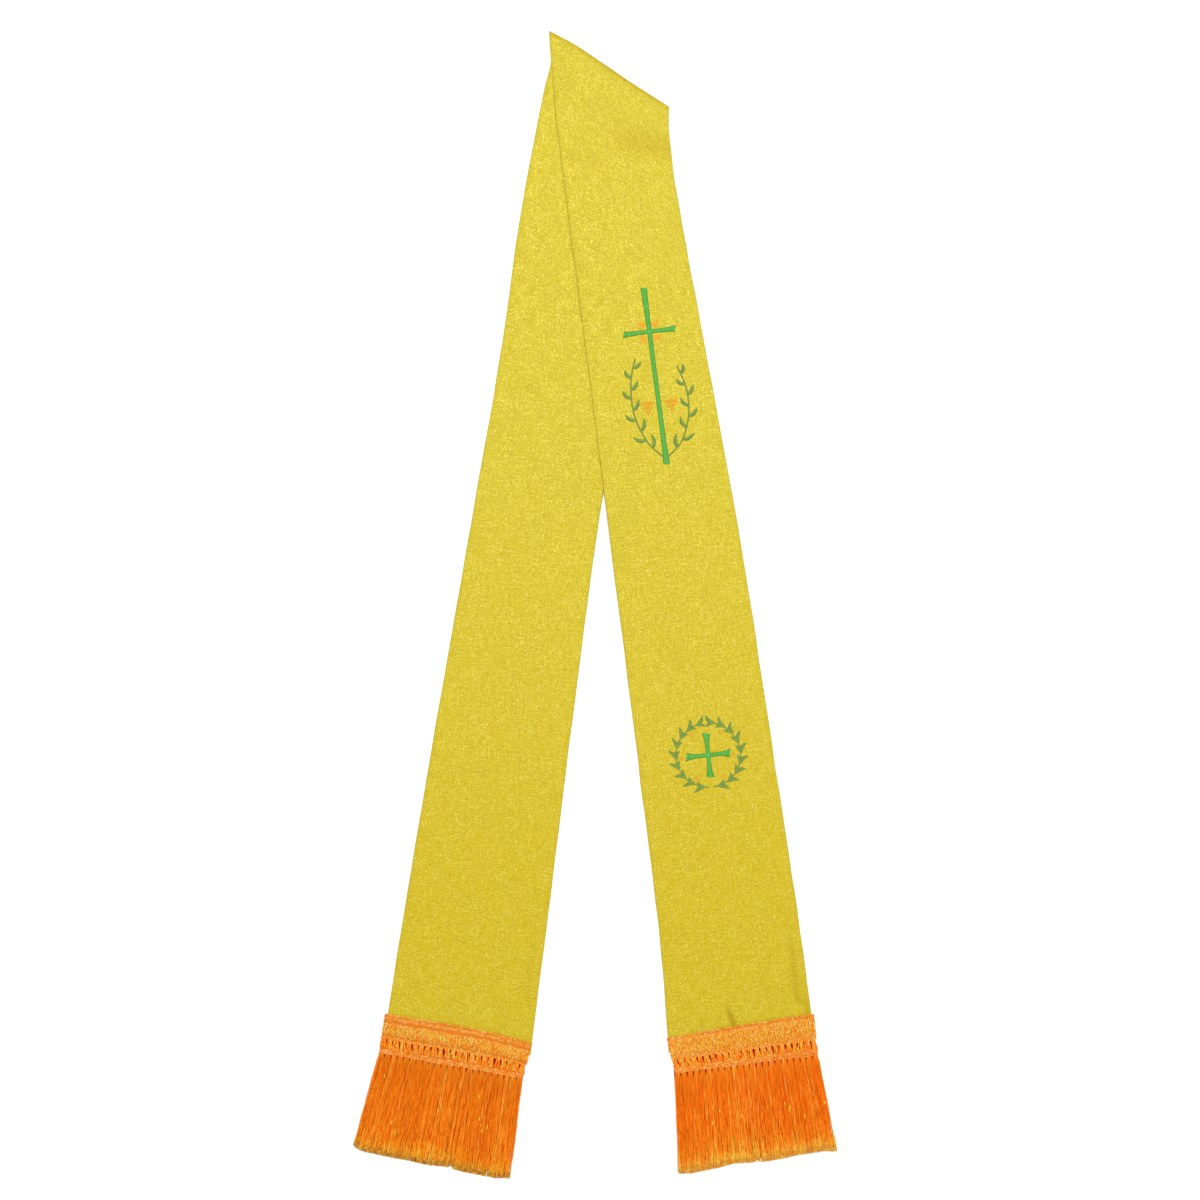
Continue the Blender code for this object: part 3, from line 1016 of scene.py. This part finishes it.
def strand_paths(fringe, chance):
    """Paths of all the strands, from the braid to the cut."""
    share, tip_share = strand_shares(chance)
    count = len(share)
    root = on_heading(fringe, share * HEADING_WIDTH, ROOT_DOWN, 0.0)[..., :2]
    spread = between(fringe.tips, share) - root
    length = np.linalg.norm(spread, axis=2)
    short = 0.1 - beyond_cut(fringe, tip_share) + np.abs(chance.normal(0, UNEVEN_CUT, (count, 1)))
    flat = root + spread * (STRAND_RUN * (1 - short / length))[..., None]
    beside = np.stack([spread[..., 1], -spread[..., 0]], axis=-1) / length[..., None]
    phase = chance.uniform(0, math.tau, (count, 2))
    pace = chance.uniform(1.0, 2.4, (count, 2))
    flat = flat + beside * strand_sway(share, phase, pace)[..., None]
    height = strand_heights(phase, pace, chance)
    return np.concatenate([flat, height[..., None]], axis=-1)


def strand_shades(fringe, chance):
    """Each strand's own chance number. Neighbours are partly alike, as yarns that lie together are."""
    order = np.arange(BARS * STRANDS_EACH)
    shade = 0.5 + 0.3 * ripple(order, order * 0, fringe.seed, 9.0) + chance.normal(0, 0.22, len(order))
    return np.clip(shade, 0.0, 1.0)


print("strands in one fringe:", BARS * STRANDS_EACH)

# %% [markdown]
# Daylight would shine through the slits if nothing lay behind them. On the real fringe the lower yarns of
# each bundle do, dark because the others shade them. One even layer of yarn on the table stands for them.

# %% The back layer of yarn, which shows in the slits
BACK_YARNS = 232
BACK_STATIONS = 12
BACK_THICK = 0.4
BACK_SHARE = 0.976
BACK_LENGTH = 0.975


def back_paths(fringe):
    """One even layer on the table, from the foot of the knitted ground almost to the cut."""
    share = 0.012 + BACK_SHARE * (np.arange(BACK_YARNS) + 0.5) / BACK_YARNS
    start = on_heading(fringe, share * HEADING_WIDTH, BARS_TOP - 0.8, 0.0)
    foot = between(fringe.tips, share)
    run = np.linspace(0, 1, BACK_STATIONS)[None, :, None]
    flat = start[:, None, :2] + (foot - start[:, :2])[:, None, :] * run * BACK_LENGTH
    down = BARS_TOP + (HEADING_HEIGHT - BARS_TOP) * run[..., 0] * 4
    lift = on_heading(fringe, np.zeros_like(down), down, 0.0)[..., 2]
    height = np.broadcast_to(lift + BACK_THICK + 0.02, flat.shape[:2])
    return np.concatenate([flat, height[..., None]], axis=-1)


print("back layer, yarns by stations:", back_paths(FRONT_FRINGE).shape[:2])

# %% [markdown]
# Where the scissors cut, a twisted yarn opens into crimped filaments. Each strand gets a few short curls.
# Most leave it close to the cut and some higher up, so that the golden ends fade into the strands, and they
# are drawn in so that none passes the cut or the fringe's sides. A few flat metallic threads also surface
# among the strands, and each shows as a short glint painted in bright yellow.

# %% Threads that start on a strand and stay inside the cut
SIDE_MARGIN = 0.2


def along_strands(strands, place):
    """Points on strands at places counted in stations, which may lie between two stations."""
    station = np.minimum(np.floor(place).astype(int), strands.shape[1] - 2)
    rest = (place - station)[..., None]
    rows = np.arange(len(strands)).reshape(-1, *[1] * (place.ndim - 1))
    return strands[rows, station] * (1 - rest) + strands[rows, station + 1] * rest


def trimmed(paths, fringe):
    """Threads drawn in towards their own start, so that none passes the cut or the sides."""
    left, right = np.array(fringe.tips[:2]), np.array(fringe.tips[2:])
    width = np.linalg.norm(right - left)
    sideways = (right - left) / width
    down = np.array([sideways[1], -sideways[0]])
    start = paths[:, 0, :2] - left
    walls = [
        (down, beyond_cut(fringe, start @ sideways / width) - start @ down),
        (-sideways, start @ sideways - SIDE_MARGIN),
        (sideways, width - SIDE_MARGIN - start @ sideways),
    ]
    for way, space in walls:
        reach = ((paths[..., :2] - paths[:, :1, :2]) @ way).max(axis=1)
        keep = np.minimum(1.0, np.maximum(space, 0.3) / np.maximum(reach, 0.01))
        paths = paths[:, :1] + (paths - paths[:, :1]) * keep[:, None, None]
    return paths


# %% Curly ends, and the glints between the strands
CURLS_EACH = 3
CURL_LENGTH = 3.6
CURL_ZONE = 12.0
GLINTS = 11
GLINT_LENGTH = 0.035
GLINT_HEIGHT = 2.3
BEAD_SIZE = 2.6


def curl_paths(fringe, strands, chance):
    """Short untwisted ends that leave each strand near its tip and curl to one side."""
    strands = np.tile(strands, (CURLS_EACH, 1, 1))
    count, stations, _ = strands.shape
    step = strands[:, -1, :2] - strands[:, -2, :2]
    length = np.linalg.norm(step, axis=1)
    way = step / length[:, None]
    back = 0.3 + CURL_ZONE * chance.random(count) ** 2.2
    start = along_strands(strands, stations - 1 - back / length)
    run = np.linspace(0, 1, 7)
    turn = chance.normal(0, 0.3, (count, 1)) + chance.normal(0, 1.1, (count, 1)) * run
    cos, sin = np.cos(turn), np.sin(turn)
    ahead = np.stack([way[:, :1] * cos - way[:, 1:] * sin, way[:, :1] * sin + way[:, 1:] * cos], axis=-1)
    ahead = ahead * CURL_LENGTH * chance.uniform(0.5, 1.2, (count, 1, 1)) / (len(run) - 1)
    flat = start[:, None, :2] + np.cumsum(ahead, axis=1) - ahead[:, :1]
    height = np.clip(start[:, None, 2] + chance.normal(0, 0.5, (count, 1)) * run, 0.3, 2.2)
    return trimmed(np.concatenate([flat, height[..., None]], axis=-1), fringe)


def curl_shades(fringe, curls, chance):
    """Each curl's own chance number. Curls that lie together are alike, so the cut looks beaded: groups of
    paler and darker curls, partly their own tone and partly painted light and shadow.
    """
    x, y = curls[:, 0, 0], curls[:, 0, 1]
    shade = 0.5 + 0.85 * ripple(x, y, fringe.seed + 5, BEAD_SIZE) + chance.normal(0, 0.16, len(curls))
    return np.clip(shade, 0.0, 1.0)


def glint_paths(strands, chance):
    """Short lengths of flat metallic thread that surface among the strands."""
    chosen = strands[chance.choice(len(strands), GLINTS, replace=False)]
    start = chance.uniform(0.25, 0.92, (GLINTS, 1))
    run = np.linspace(0, 1, 5)
    paths = along_strands(chosen, (start + GLINT_LENGTH * run) * (strands.shape[1] - 1))
    paths[..., 2] = GLINT_HEIGHT + 0.15 * np.sin(run * math.pi)
    return paths


print("curls in one fringe:", BARS * STRANDS_EACH * CURLS_EACH)

# %% [markdown]
# The yarn is a little darker where the bundles shade each other under the braid, a clear orange half way
# down and golden at its cut ends. A ramp is read from how far along its strand a point lies. Each strand has
# its own shade from dull red-orange to pale gold, a fine diagonal stripe gives each yarn its twist, and a
# noise drawn out along the strands lets them slip in and out of the light. The back fringe lies a little
# deeper in the shade than the front one and its ends are less golden, so each fringe has its own ramp.

# %% Finish of a rayon yarn
STRAND_TWIST = 150.0
CURL_TWIST = 20.0
END_PAINTED_SHADOW = dye(110, 60, 6)


def rayon(name, stops, twist_pace, dark, bright, cut_shadow_strength):
    """Shiny yarn. stops colour it along its length; cut_shadow_strength is how dark its painted cut shadow
    is.
    """
    finish = Finish(name, Specular_IOR_Level=0.3, Specular_Tint=(1.0, 0.5, 0.08, 1.0))
    _, along, chance, around = finish.attribute("thread")
    place = finish.node("ShaderNodeNewGeometry", {}, {}, "Position")
    slip = finish.noise(finish.stretched(place, (620.0, 70.0, 620.0)), 1.0, 1.0)
    ramp = finish.node("ShaderNodeValToRGB", {"stops": stops}, {0: along + (chance - 0.5) * 0.12})
    twist = (along * twist_pace + around * 1.4 + chance * 40.0).sine() * 0.5 + 0.5
    dull = (1 - chance) * (1 - chance)
    colour = finish.blend(twist * 0.2 + dull * 0.7 + slip.clamped(0.45, 0.75) * 0.3, ramp, dark)
    gilt = chance.clamped(0.70, 0.95) * slip.clamped(0.65, 0.35)
    colour = finish.blend(gilt * 0.75, colour, bright)
    # Painted shadow: dark spots in the gaps between the cut ends
    cut_shadow = along.clamped(0.95, 1.0) * (chance * 31.7).fraction().clamped(0.45, 0.6)
    colour = finish.blend(cut_shadow * cut_shadow_strength, colour, END_PAINTED_SHADOW)
    finish.surface(Base_Color=colour, Roughness=0.45, Normal=finish.bump(twist, 0.08, 0.45))
    return finish


# %% Dyes of the strands, from the braid to the cut
FRONT_DYES = dye_stops(
    (0.0, 224, 138, 26),
    (0.085, 232, 143, 27),
    (0.16, 244, 144, 28),
    (0.3, 253, 147, 28),
    (0.7, 255, 149, 28),
    (0.88, 255, 172, 38),
    (0.97, 255, 226, 76),
)
BACK_DYES = dye_stops(
    (0.0, 204, 134, 24),
    (0.085, 219, 140, 25),
    (0.17, 236, 144, 26),
    (0.3, 246, 148, 27),
    (0.5, 253, 154, 28),
    (0.8, 254, 157, 30),
    (0.9, 255, 172, 36),
    (1.0, 255, 212, 60),
)
SHADED_DYES = dye_stops(
    (0.0, 170, 12, 0),
    (0.13, 162, 11, 0),
    (0.22, 228, 96, 10),
    (0.93, 246, 120, 18),
    (1.0, 224, 132, 22),
)
FRONT_CURL_DYES = dye_stops((0.0, 255, 160, 30), (1.0, 255, 240, 116))
BACK_CURL_DYES = dye_stops((0.0, 255, 156, 30), (1.0, 255, 222, 84))

STRAND_RAYON = {
    "front": rayon("front_rayon", FRONT_DYES, STRAND_TWIST, dye(238, 76, 4), dye(255, 204, 96), 0.05),
    "back": rayon("back_fringe_rayon", BACK_DYES, STRAND_TWIST, dye(232, 78, 4), dye(254, 200, 90), 0.8),
}
SHADED_RAYON = rayon("shaded_rayon", SHADED_DYES, STRAND_TWIST, dye(118, 8, 0), dye(176, 30, 2), 0.0)
CURL_RAYON = {
    "front": rayon("front_curl", FRONT_CURL_DYES, CURL_TWIST, dye(240, 120, 12), dye(255, 244, 118), 0.1),
    "back": rayon("back_curl", BACK_CURL_DYES, CURL_TWIST, dye(176, 96, 8), dye(255, 240, 112), 0.5),
}
# Painted glint: a plain bright yellow, not metallic, stands for the light off flat metallic thread
painted_glint_finish = Finish("painted_glint_thread", Base_Color=dye(255, 232, 40), Roughness=0.3)

# %% Dress the fringes
GLINT_THICK = 0.42
CURL_ROOT_THICK = 0.32
CURL_END_THICK = 0.16


def dress_fringe(fringe):
    """The strands with their ends and glints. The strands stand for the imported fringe."""
    chance = np.random.default_rng(fringe.seed + 20)
    paths = strand_paths(fringe, chance)
    shades = strand_shades(fringe, chance)
    thick = STRAND_THICK * chance.uniform(0.75, 1.15, (len(paths), 1))
    taper = np.where(np.arange(paths.shape[1]) == paths.shape[1] - 1, 0.6, 1.0)
    finish = STRAND_RAYON[fringe.name]
    strands = yarn_piece("strands", fringe, paths, thick * taper, finish, 4, shades)
    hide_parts(f"{fringe.name}_fringe")
    curls = curl_paths(fringe, paths, chance)
    glints = glint_paths(paths, chance)
    # Paler and darker groups of curls stand partly for painted light and shadow along the cut
    lit_and_shaded_beads = curl_shades(fringe, curls, chance)
    curl_thick = np.linspace(CURL_ROOT_THICK, CURL_END_THICK, curls.shape[1])
    return [
        strands,
        yarn_piece("back_layer", fringe, back_paths(fringe), BACK_THICK, SHADED_RAYON, 5),
        yarn_piece("curls", fringe, curls, curl_thick, CURL_RAYON[fringe.name], 3, lit_and_shaded_beads),
        yarn_piece("glints", fringe, glints, GLINT_THICK, painted_glint_finish, 4),
    ]


fringes = {fringe.name: dress_fringe(fringe) for fringe in (FRONT_FRINGE, BACK_FRINGE)}

# %% [markdown]
# ## The embroidery
#
# The front band carries two motifs in satin stitch. A machine fills each shape with threads laid side by
# side across it, so a stroke is a low mound with a sheen that turns as the threads turn. That is how they
# are made here too: a stroke is a spine and a width, and each thread arches over it from edge to edge.
# The motifs are plain traditional ones: a tall cross between two laurel sprays, and a small cross in a
# wreath.

# %% A smooth line through a few points
LINE_POINTS = 60


def smooth_line(knots):
    """A smooth curve through a few points, as points an even way apart."""
    knots = np.asarray(knots, float)
    if len(knots) == 2:
        return knots[0] + (knots[1] - knots[0]) * np.linspace(0, 1, LINE_POINTS)[:, None]
    ends = np.concatenate([[2 * knots[0] - knots[1]], knots, [2 * knots[-1] - knots[-2]]])
    share = np.linspace(0, 1, 24, endpoint=False)[:, None]
    pieces = []
    for before, start, end, after in zip(ends, ends[1:], ends[2:], ends[3:]):
        turn = 2 * before - 5 * start + 4 * end - after
        bend = 3 * start - before - 3 * end + after
        pieces.append((2 * start + (end - before) * share + turn * share**2 + bend * share**3) / 2)
    dense = np.concatenate([*pieces, knots[-1:]])
    reach = np.concatenate([[0.0], np.cumsum(np.linalg.norm(np.diff(dense, axis=0), axis=1))])
    even = np.linspace(0, reach[-1], LINE_POINTS)
    return np.column_stack([np.interp(even, reach, dense[:, axis]) for axis in (0, 1)])


print("middle of a bent line:", smooth_line([(0, 0), (5, 2), (10, 0)])[LINE_POINTS // 2].round(2))

# %% Lay satin threads over a stroke
THREAD_STEP = 0.42
THREAD_THICK = 0.24
THREAD_RUN = np.linspace(-1, 1, 7)
FULL_PAD = 1.2
TUCKED_IN = 0.12
THINNEST = 0.35


def satin(knots, width, slant, pad):
    """Threads across a stroke, in the motif's own millimetres. width is a function of the share along it.

    slant is their lean in degrees, and pad is how high they stand over the stroke's middle.
    """
    spine = smooth_line(knots)
    reach = np.concatenate([[0.0], np.cumsum(np.linalg.norm(np.diff(spine, axis=0), axis=1))])
    count = max(int(reach[-1] / THREAD_STEP), 3)
    places = (np.arange(count) + 0.5) / count * reach[-1]
    centre = np.column_stack([np.interp(places, reach, spine[:, axis]) for axis in (0, 1)])
    tangent = np.gradient(centre, axis=0)
    tangent /= np.linalg.norm(tangent, axis=1, keepdims=True)
    lean = math.radians(slant)
    normal = np.column_stack([-tangent[:, 1], tangent[:, 0]])
    across = normal * math.cos(lean) + tangent * math.sin(lean)
    half = np.maximum(width(places / reach[-1]), THINNEST)[:, None] / 2 / math.cos(lean)
    flat = centre[:, None, :] + across[:, None, :] * (half * THREAD_RUN)[..., None]
    mound = np.sqrt(np.maximum(1 - THREAD_RUN**2, 0.0)) * pad * np.minimum(half / FULL_PAD, 1.0)
    return flat, mound - TUCKED_IN * np.abs(THREAD_RUN) ** 8


def even_width(wide, flare=0.0):
    """A stroke of one width with blunt ends, which may flare."""
    return lambda share: wide + flare * (2 * share - 1) ** 4


def leaf_width(wide):
    """A leaf: pointed at both ends and fullest before its middle."""
    return lambda share: wide * np.sin(np.pi * share**0.8) ** 0.85


def dot_width(wide):
    """A berry: round."""
    return lambda share: wide * np.sqrt(np.maximum(1 - (2 * share - 1) ** 2, 0.02))


print("threads in a stroke 10 mm long:", len(satin([(0, 0), (10, 0)], even_width(2.0), 18.0, 0.5)[0]))

# %% Leaves, sprays and berries
LEAF_SLANT = 32.0
LEAF_PAD = 0.42
LEAF_TURN = 40
LEAF_BEND = 0.12
FIRST_LEAF = 0.14
LEAVES_SHARE = 0.80


def leaf(x, y, way, long, wide, bend):
    """A leaf from its stalk at x, y, pointing way degrees from the motif's own right."""
    ahead = np.array([math.cos(math.radians(way)), math.sin(math.radians(way))])
    beside = np.array([-ahead[1], ahead[0]])
    root = np.array([x, y])
    knots = [root, root + ahead * long * 0.5 + beside * long * bend, root + ahead * long]
    return satin(knots, leaf_width(wide), LEAF_SLANT, LEAF_PAD)


def spray(stem, count, side, long, wide):
    """A stem with leaves that leave it on both sides in turn."""
    line = smooth_line(stem)
    strokes = [satin(stem, even_width(1.3), slant=25.0, pad=0.32)]
    for number in range(count):
        share = FIRST_LEAF + LEAVES_SHARE * number / (count - 1)
        place = int(share * (len(line) - 2))
        x, y = line[place]
        run = line[place + 1] - line[place]
        ahead = math.degrees(math.atan2(run[1], run[0]))
        turn = side if number % 2 else -side
        size = long * (1.05 - 0.35 * share)
        strokes.append(leaf(x, y, ahead + LEAF_TURN * turn, size, wide, LEAF_BEND * turn))
    return strokes


def berries(places, wide):
    ends = [[(x, y - wide / 2), (x, y + wide / 2)] for x, y in places]
    return [satin(knots, dot_width(wide), slant=0.0, pad=0.6) for knots in ends]


print("strokes in a spray of 4 leaves:", len(spray([(0, 0), (5, 20), (4, 40)], 4, 1, 12.0, 3.4)))

# %% The tall cross
ARMS_UP = 42
LEFT_STEM = [(-1.5, -80), (-16, -62), (-25, -34), (-24, -4), (-17, 18)]
RIGHT_STEM = [(1.5, -80), (17, -66), (27, -42), (28, -16), (22, 6)]
BUNCH = [(-4.4, 3.6), (0, 4.2), (4.4, 3.6), (-2.2, 0), (2.2, 0), (0, -4.2)]

# The rays in one angle: how far from the crossing each starts and ends, its width, and its turn
Ray = namedtuple("Ray", "near far wide turn")
RAYS = [Ray(6, 16, 2.2, 0), Ray(6, 12, 1.3, 0.32), Ray(6, 12, 1.3, -0.32)]


def rays_of_cross():
    strokes = []
    for way in (45, 135, 225, 315):
        cos, sin = math.cos(math.radians(way)), math.sin(math.radians(way))
        for near, far, wide, turn in RAYS:
            foot = (cos * near - sin * near * turn, ARMS_UP + (sin * near + cos * near * turn))
            tip = (cos * far - sin * far * turn, ARMS_UP + (sin * far + cos * far * turn))
            strokes.append(satin([foot, tip], leaf_width(wide), slant=20.0, pad=0.35))
    return strokes


def tall_cross():
    """A slender cross with laurel to its left and right, and rays in the angles of its arms."""
    cross = [
        satin([(0, -86), (0, 84)], even_width(4.2, 2.0), slant=12.0, pad=0.75),
        satin([(-25, ARMS_UP), (25, ARMS_UP)], even_width(4.0, 2.2), slant=12.0, pad=0.8),
    ]
    left = spray(LEFT_STEM, 9, 1, long=14.0, wide=3.6)
    right = spray(RIGHT_STEM, 8, -1, long=14.0, wide=3.6)
    dots = berries([(x + side, y - 30) for side in (-11, 12) for x, y in BUNCH], 3.4)
    return {"green": cross, "olive": left + right, "orange": rays_of_cross() + dots}


print("strokes of the tall cross:", {shade: len(strokes) for shade, strokes in tall_cross().items()})

# %% The small cross
WREATH_RADIUS = 31
WREATH_LEAVES = 9


def small_cross():
    """A cross with flared arms in a wreath of leaves and berries."""
    cross = [
        satin([(0, -21), (0, 21)], even_width(3.8, 4.4), slant=10.0, pad=0.75),
        satin([(-21, 0), (21, 0)], even_width(3.8, 4.4), slant=10.0, pad=0.8),
    ]
    leaves = []
    dots = []
    for side in (-1, 1):
        for number in range(WREATH_LEAVES):
            way = -90 + side * (12 + number * 19.0)
            x, y = WREATH_RADIUS * math.cos(math.radians(way)), WREATH_RADIUS * math.sin(math.radians(way))
            ahead = way + 90 * side
            leaves.append(leaf(x, y, ahead - side * 34, 11.5, 3.4, LEAF_BEND * side))
            leaves.append(leaf(x, y, ahead + side * 30, 9.0, 2.8, -LEAF_BEND * side))
            if number % 3 == 1:
                dots.append((x * 0.80, y * 0.80))
        arc = [math.radians(-90 + side * step) for step in range(4, 173, 14)]
        stem = [(WREATH_RADIUS * math.cos(turn), WREATH_RADIUS * math.sin(turn)) for turn in arc]
        leaves.append(satin(stem, even_width(1.1), slant=25.0, pad=0.3))
    return {"green": cross, "olive": leaves, "orange": berries(dots, 3.0)}


print("strokes of the small cross:", {shade: len(strokes) for shade, strokes in small_cross().items()})

# %% Threads of the motifs on the cloth
Placing = namedtuple("Placing", "x y lean")
TALL_CROSS = Placing(49.0, 112.0, 7.5)
SMALL_CROSS = Placing(100.0, -252.5, 6.0)


def sewn(strokes, placing):
    """The threads of strokes as paths on the cloth."""
    lean = math.radians(placing.lean)
    paths = []
    for flat, mound in strokes:
        x = placing.x + flat[..., 0] * math.cos(lean) - flat[..., 1] * math.sin(lean)
        y = placing.y + flat[..., 0] * math.sin(lean) + flat[..., 1] * math.cos(lean)
        top = front_heights(x, y, FAR_FROM_SEAM, FAR_FROM_EDGE)[1] + front_relief(x, y)[1]
        paths.append(np.stack([x, y, top + mound], axis=-1))
    return np.concatenate(paths)


def satin_thread(name, shade, bright, edge):
    """Glossy embroidery thread: each thread has its own shade, a painted highlight along its top, and painted
    shadow at its two ends.
    """
    finish = Finish(name, Specular_IOR_Level=0.5, Specular_Tint=bright)
    _, along, chance, around = finish.attribute("thread")
    # Painted highlight: each thread is paler along its top
    crown_highlight = around.clamped(-0.2, 1.0)
    colour = finish.blend(crown_highlight * 0.6 + chance * 0.4, shade, bright)
    # Painted shadow: each thread darkens towards its two ends, at the stroke's edges
    side = abs(along * 2.0 - 1.0).clamped(0.6, 1.0)
    colour = finish.blend(side * 0.55, colour, edge)
    finish.surface(Base_Color=colour, Roughness=0.48 - chance * 0.12)
    return finish


# The third colour of each is the painted shadow at the stroke's edges
THREADS = {
    "green": satin_thread("bright_green_thread", dye(70, 150, 52), dye(116, 206, 100), dye(60, 96, 32)),
    "olive": satin_thread("olive_thread", dye(92, 122, 48), dye(146, 176, 92), dye(84, 92, 34)),
    "orange": satin_thread("orange_thread", dye(240, 156, 28), dye(255, 196, 74), dye(206, 136, 28)),
}


# %% Sew the motifs onto the front band
def embroider(name, motif, placing):
    made = []
    for shade, strokes in motif.items():
        points, faces, carried = sweep(sewn(strokes, placing), THREAD_THICK, 4)
        label = f"{name}_{shade}"
        made.append(make_piece(label, points, faces, THREADS[shade], {"thread": carried}))
    return made


embroidery = embroider("tall_cross", tall_cross(), TALL_CROSS)
embroidery += embroider("small_cross", small_cross(), SMALL_CROSS)

# %% [markdown]
# ## What the cloth was cut to
#
# Both bands are sheets of cloth, so their finished sizes, without the turnings inside, are printed where
# the bands are made.


# %% [markdown]
# ## Table, light and camera
#
# The stole is shown cut out on white, looked at squarely from above. So the table is a plain near-white
# plane, a broad soft lamp hangs above it beyond the neck, and an even sky fills the rest.
# The lamp makes the upper part a little brighter than the fringes.

# %% Table, lamp and sky
TABLE_SIDE = 8.0
TABLE_GAP = 0.0004


def lay_table():
    bpy.ops.mesh.primitive_plane_add(size=TABLE_SIDE, location=(0, 0, -TABLE_GAP))
    table = bpy.context.object
    table.name = "table"
    white = Finish(
        "table_white",
        Base_Color=(0.93, 0.93, 0.93, 1.0),
        Roughness=0.9,
        Emission_Color=(1.0, 1.0, 1.0, 1.0),
        Emission_Strength=0.1,
    )
    table.data.materials.append(white.material)


def soft_lamp(name, place, side, watts):
    lamp = bpy.data.lights.new(name, "AREA")
    lamp.size = side
    lamp.energy = watts
    made = bpy.data.objects.new(name, lamp)
    made.location = place
    aim = -np.array(place)
    made.rotation_euler = (
        math.atan2(math.hypot(aim[0], aim[1]), -aim[2]),
        0.0,
        math.atan2(aim[1], aim[0]) - math.pi / 2,
    )
    bpy.context.scene.collection.objects.link(made)


def even_sky(strength):
    world = bpy.data.worlds.new("studio")
    world.use_nodes = True
    world.node_tree.nodes["Background"].inputs["Color"].default_value = (1.0, 1.0, 1.0, 1.0)
    world.node_tree.nodes["Background"].inputs["Strength"].default_value = strength
    bpy.context.scene.world = world


lay_table()
soft_lamp("key_lamp", place=(0.2, 1.2, 3.9), side=2.2, watts=116.0)
even_sky(strength=0.62)

# %% Camera
PIXEL_MM = 0.96
PHOTO_SIDE = 1200
FORK_PIXEL = (604, 492)
LENS = 85.0
SENSOR = 36.0


def camera_above():
    """A camera that looks straight down and frames as many millimetres as the photograph does."""
    view = bpy.data.cameras.new("photo_camera")
    view.lens = LENS
    view.sensor_width = SENSOR
    eye = bpy.data.objects.new("photo_camera", view)
    frame_width = PHOTO_SIDE * PIXEL_MM * MM
    middle = PHOTO_SIDE / 2
    x = fork[0] + (middle - FORK_PIXEL[0]) * PIXEL_MM * MM
    y = fork[1] - (middle - FORK_PIXEL[1]) * PIXEL_MM * MM
    eye.location = (x, y, frame_width * LENS / SENSOR)
    bpy.context.scene.collection.objects.link(eye)
    bpy.context.scene.camera = eye
    print("camera at", [round(value, 3) for value in eye.location])


camera_above()
bpy.context.scene.view_settings.view_transform = "Standard"
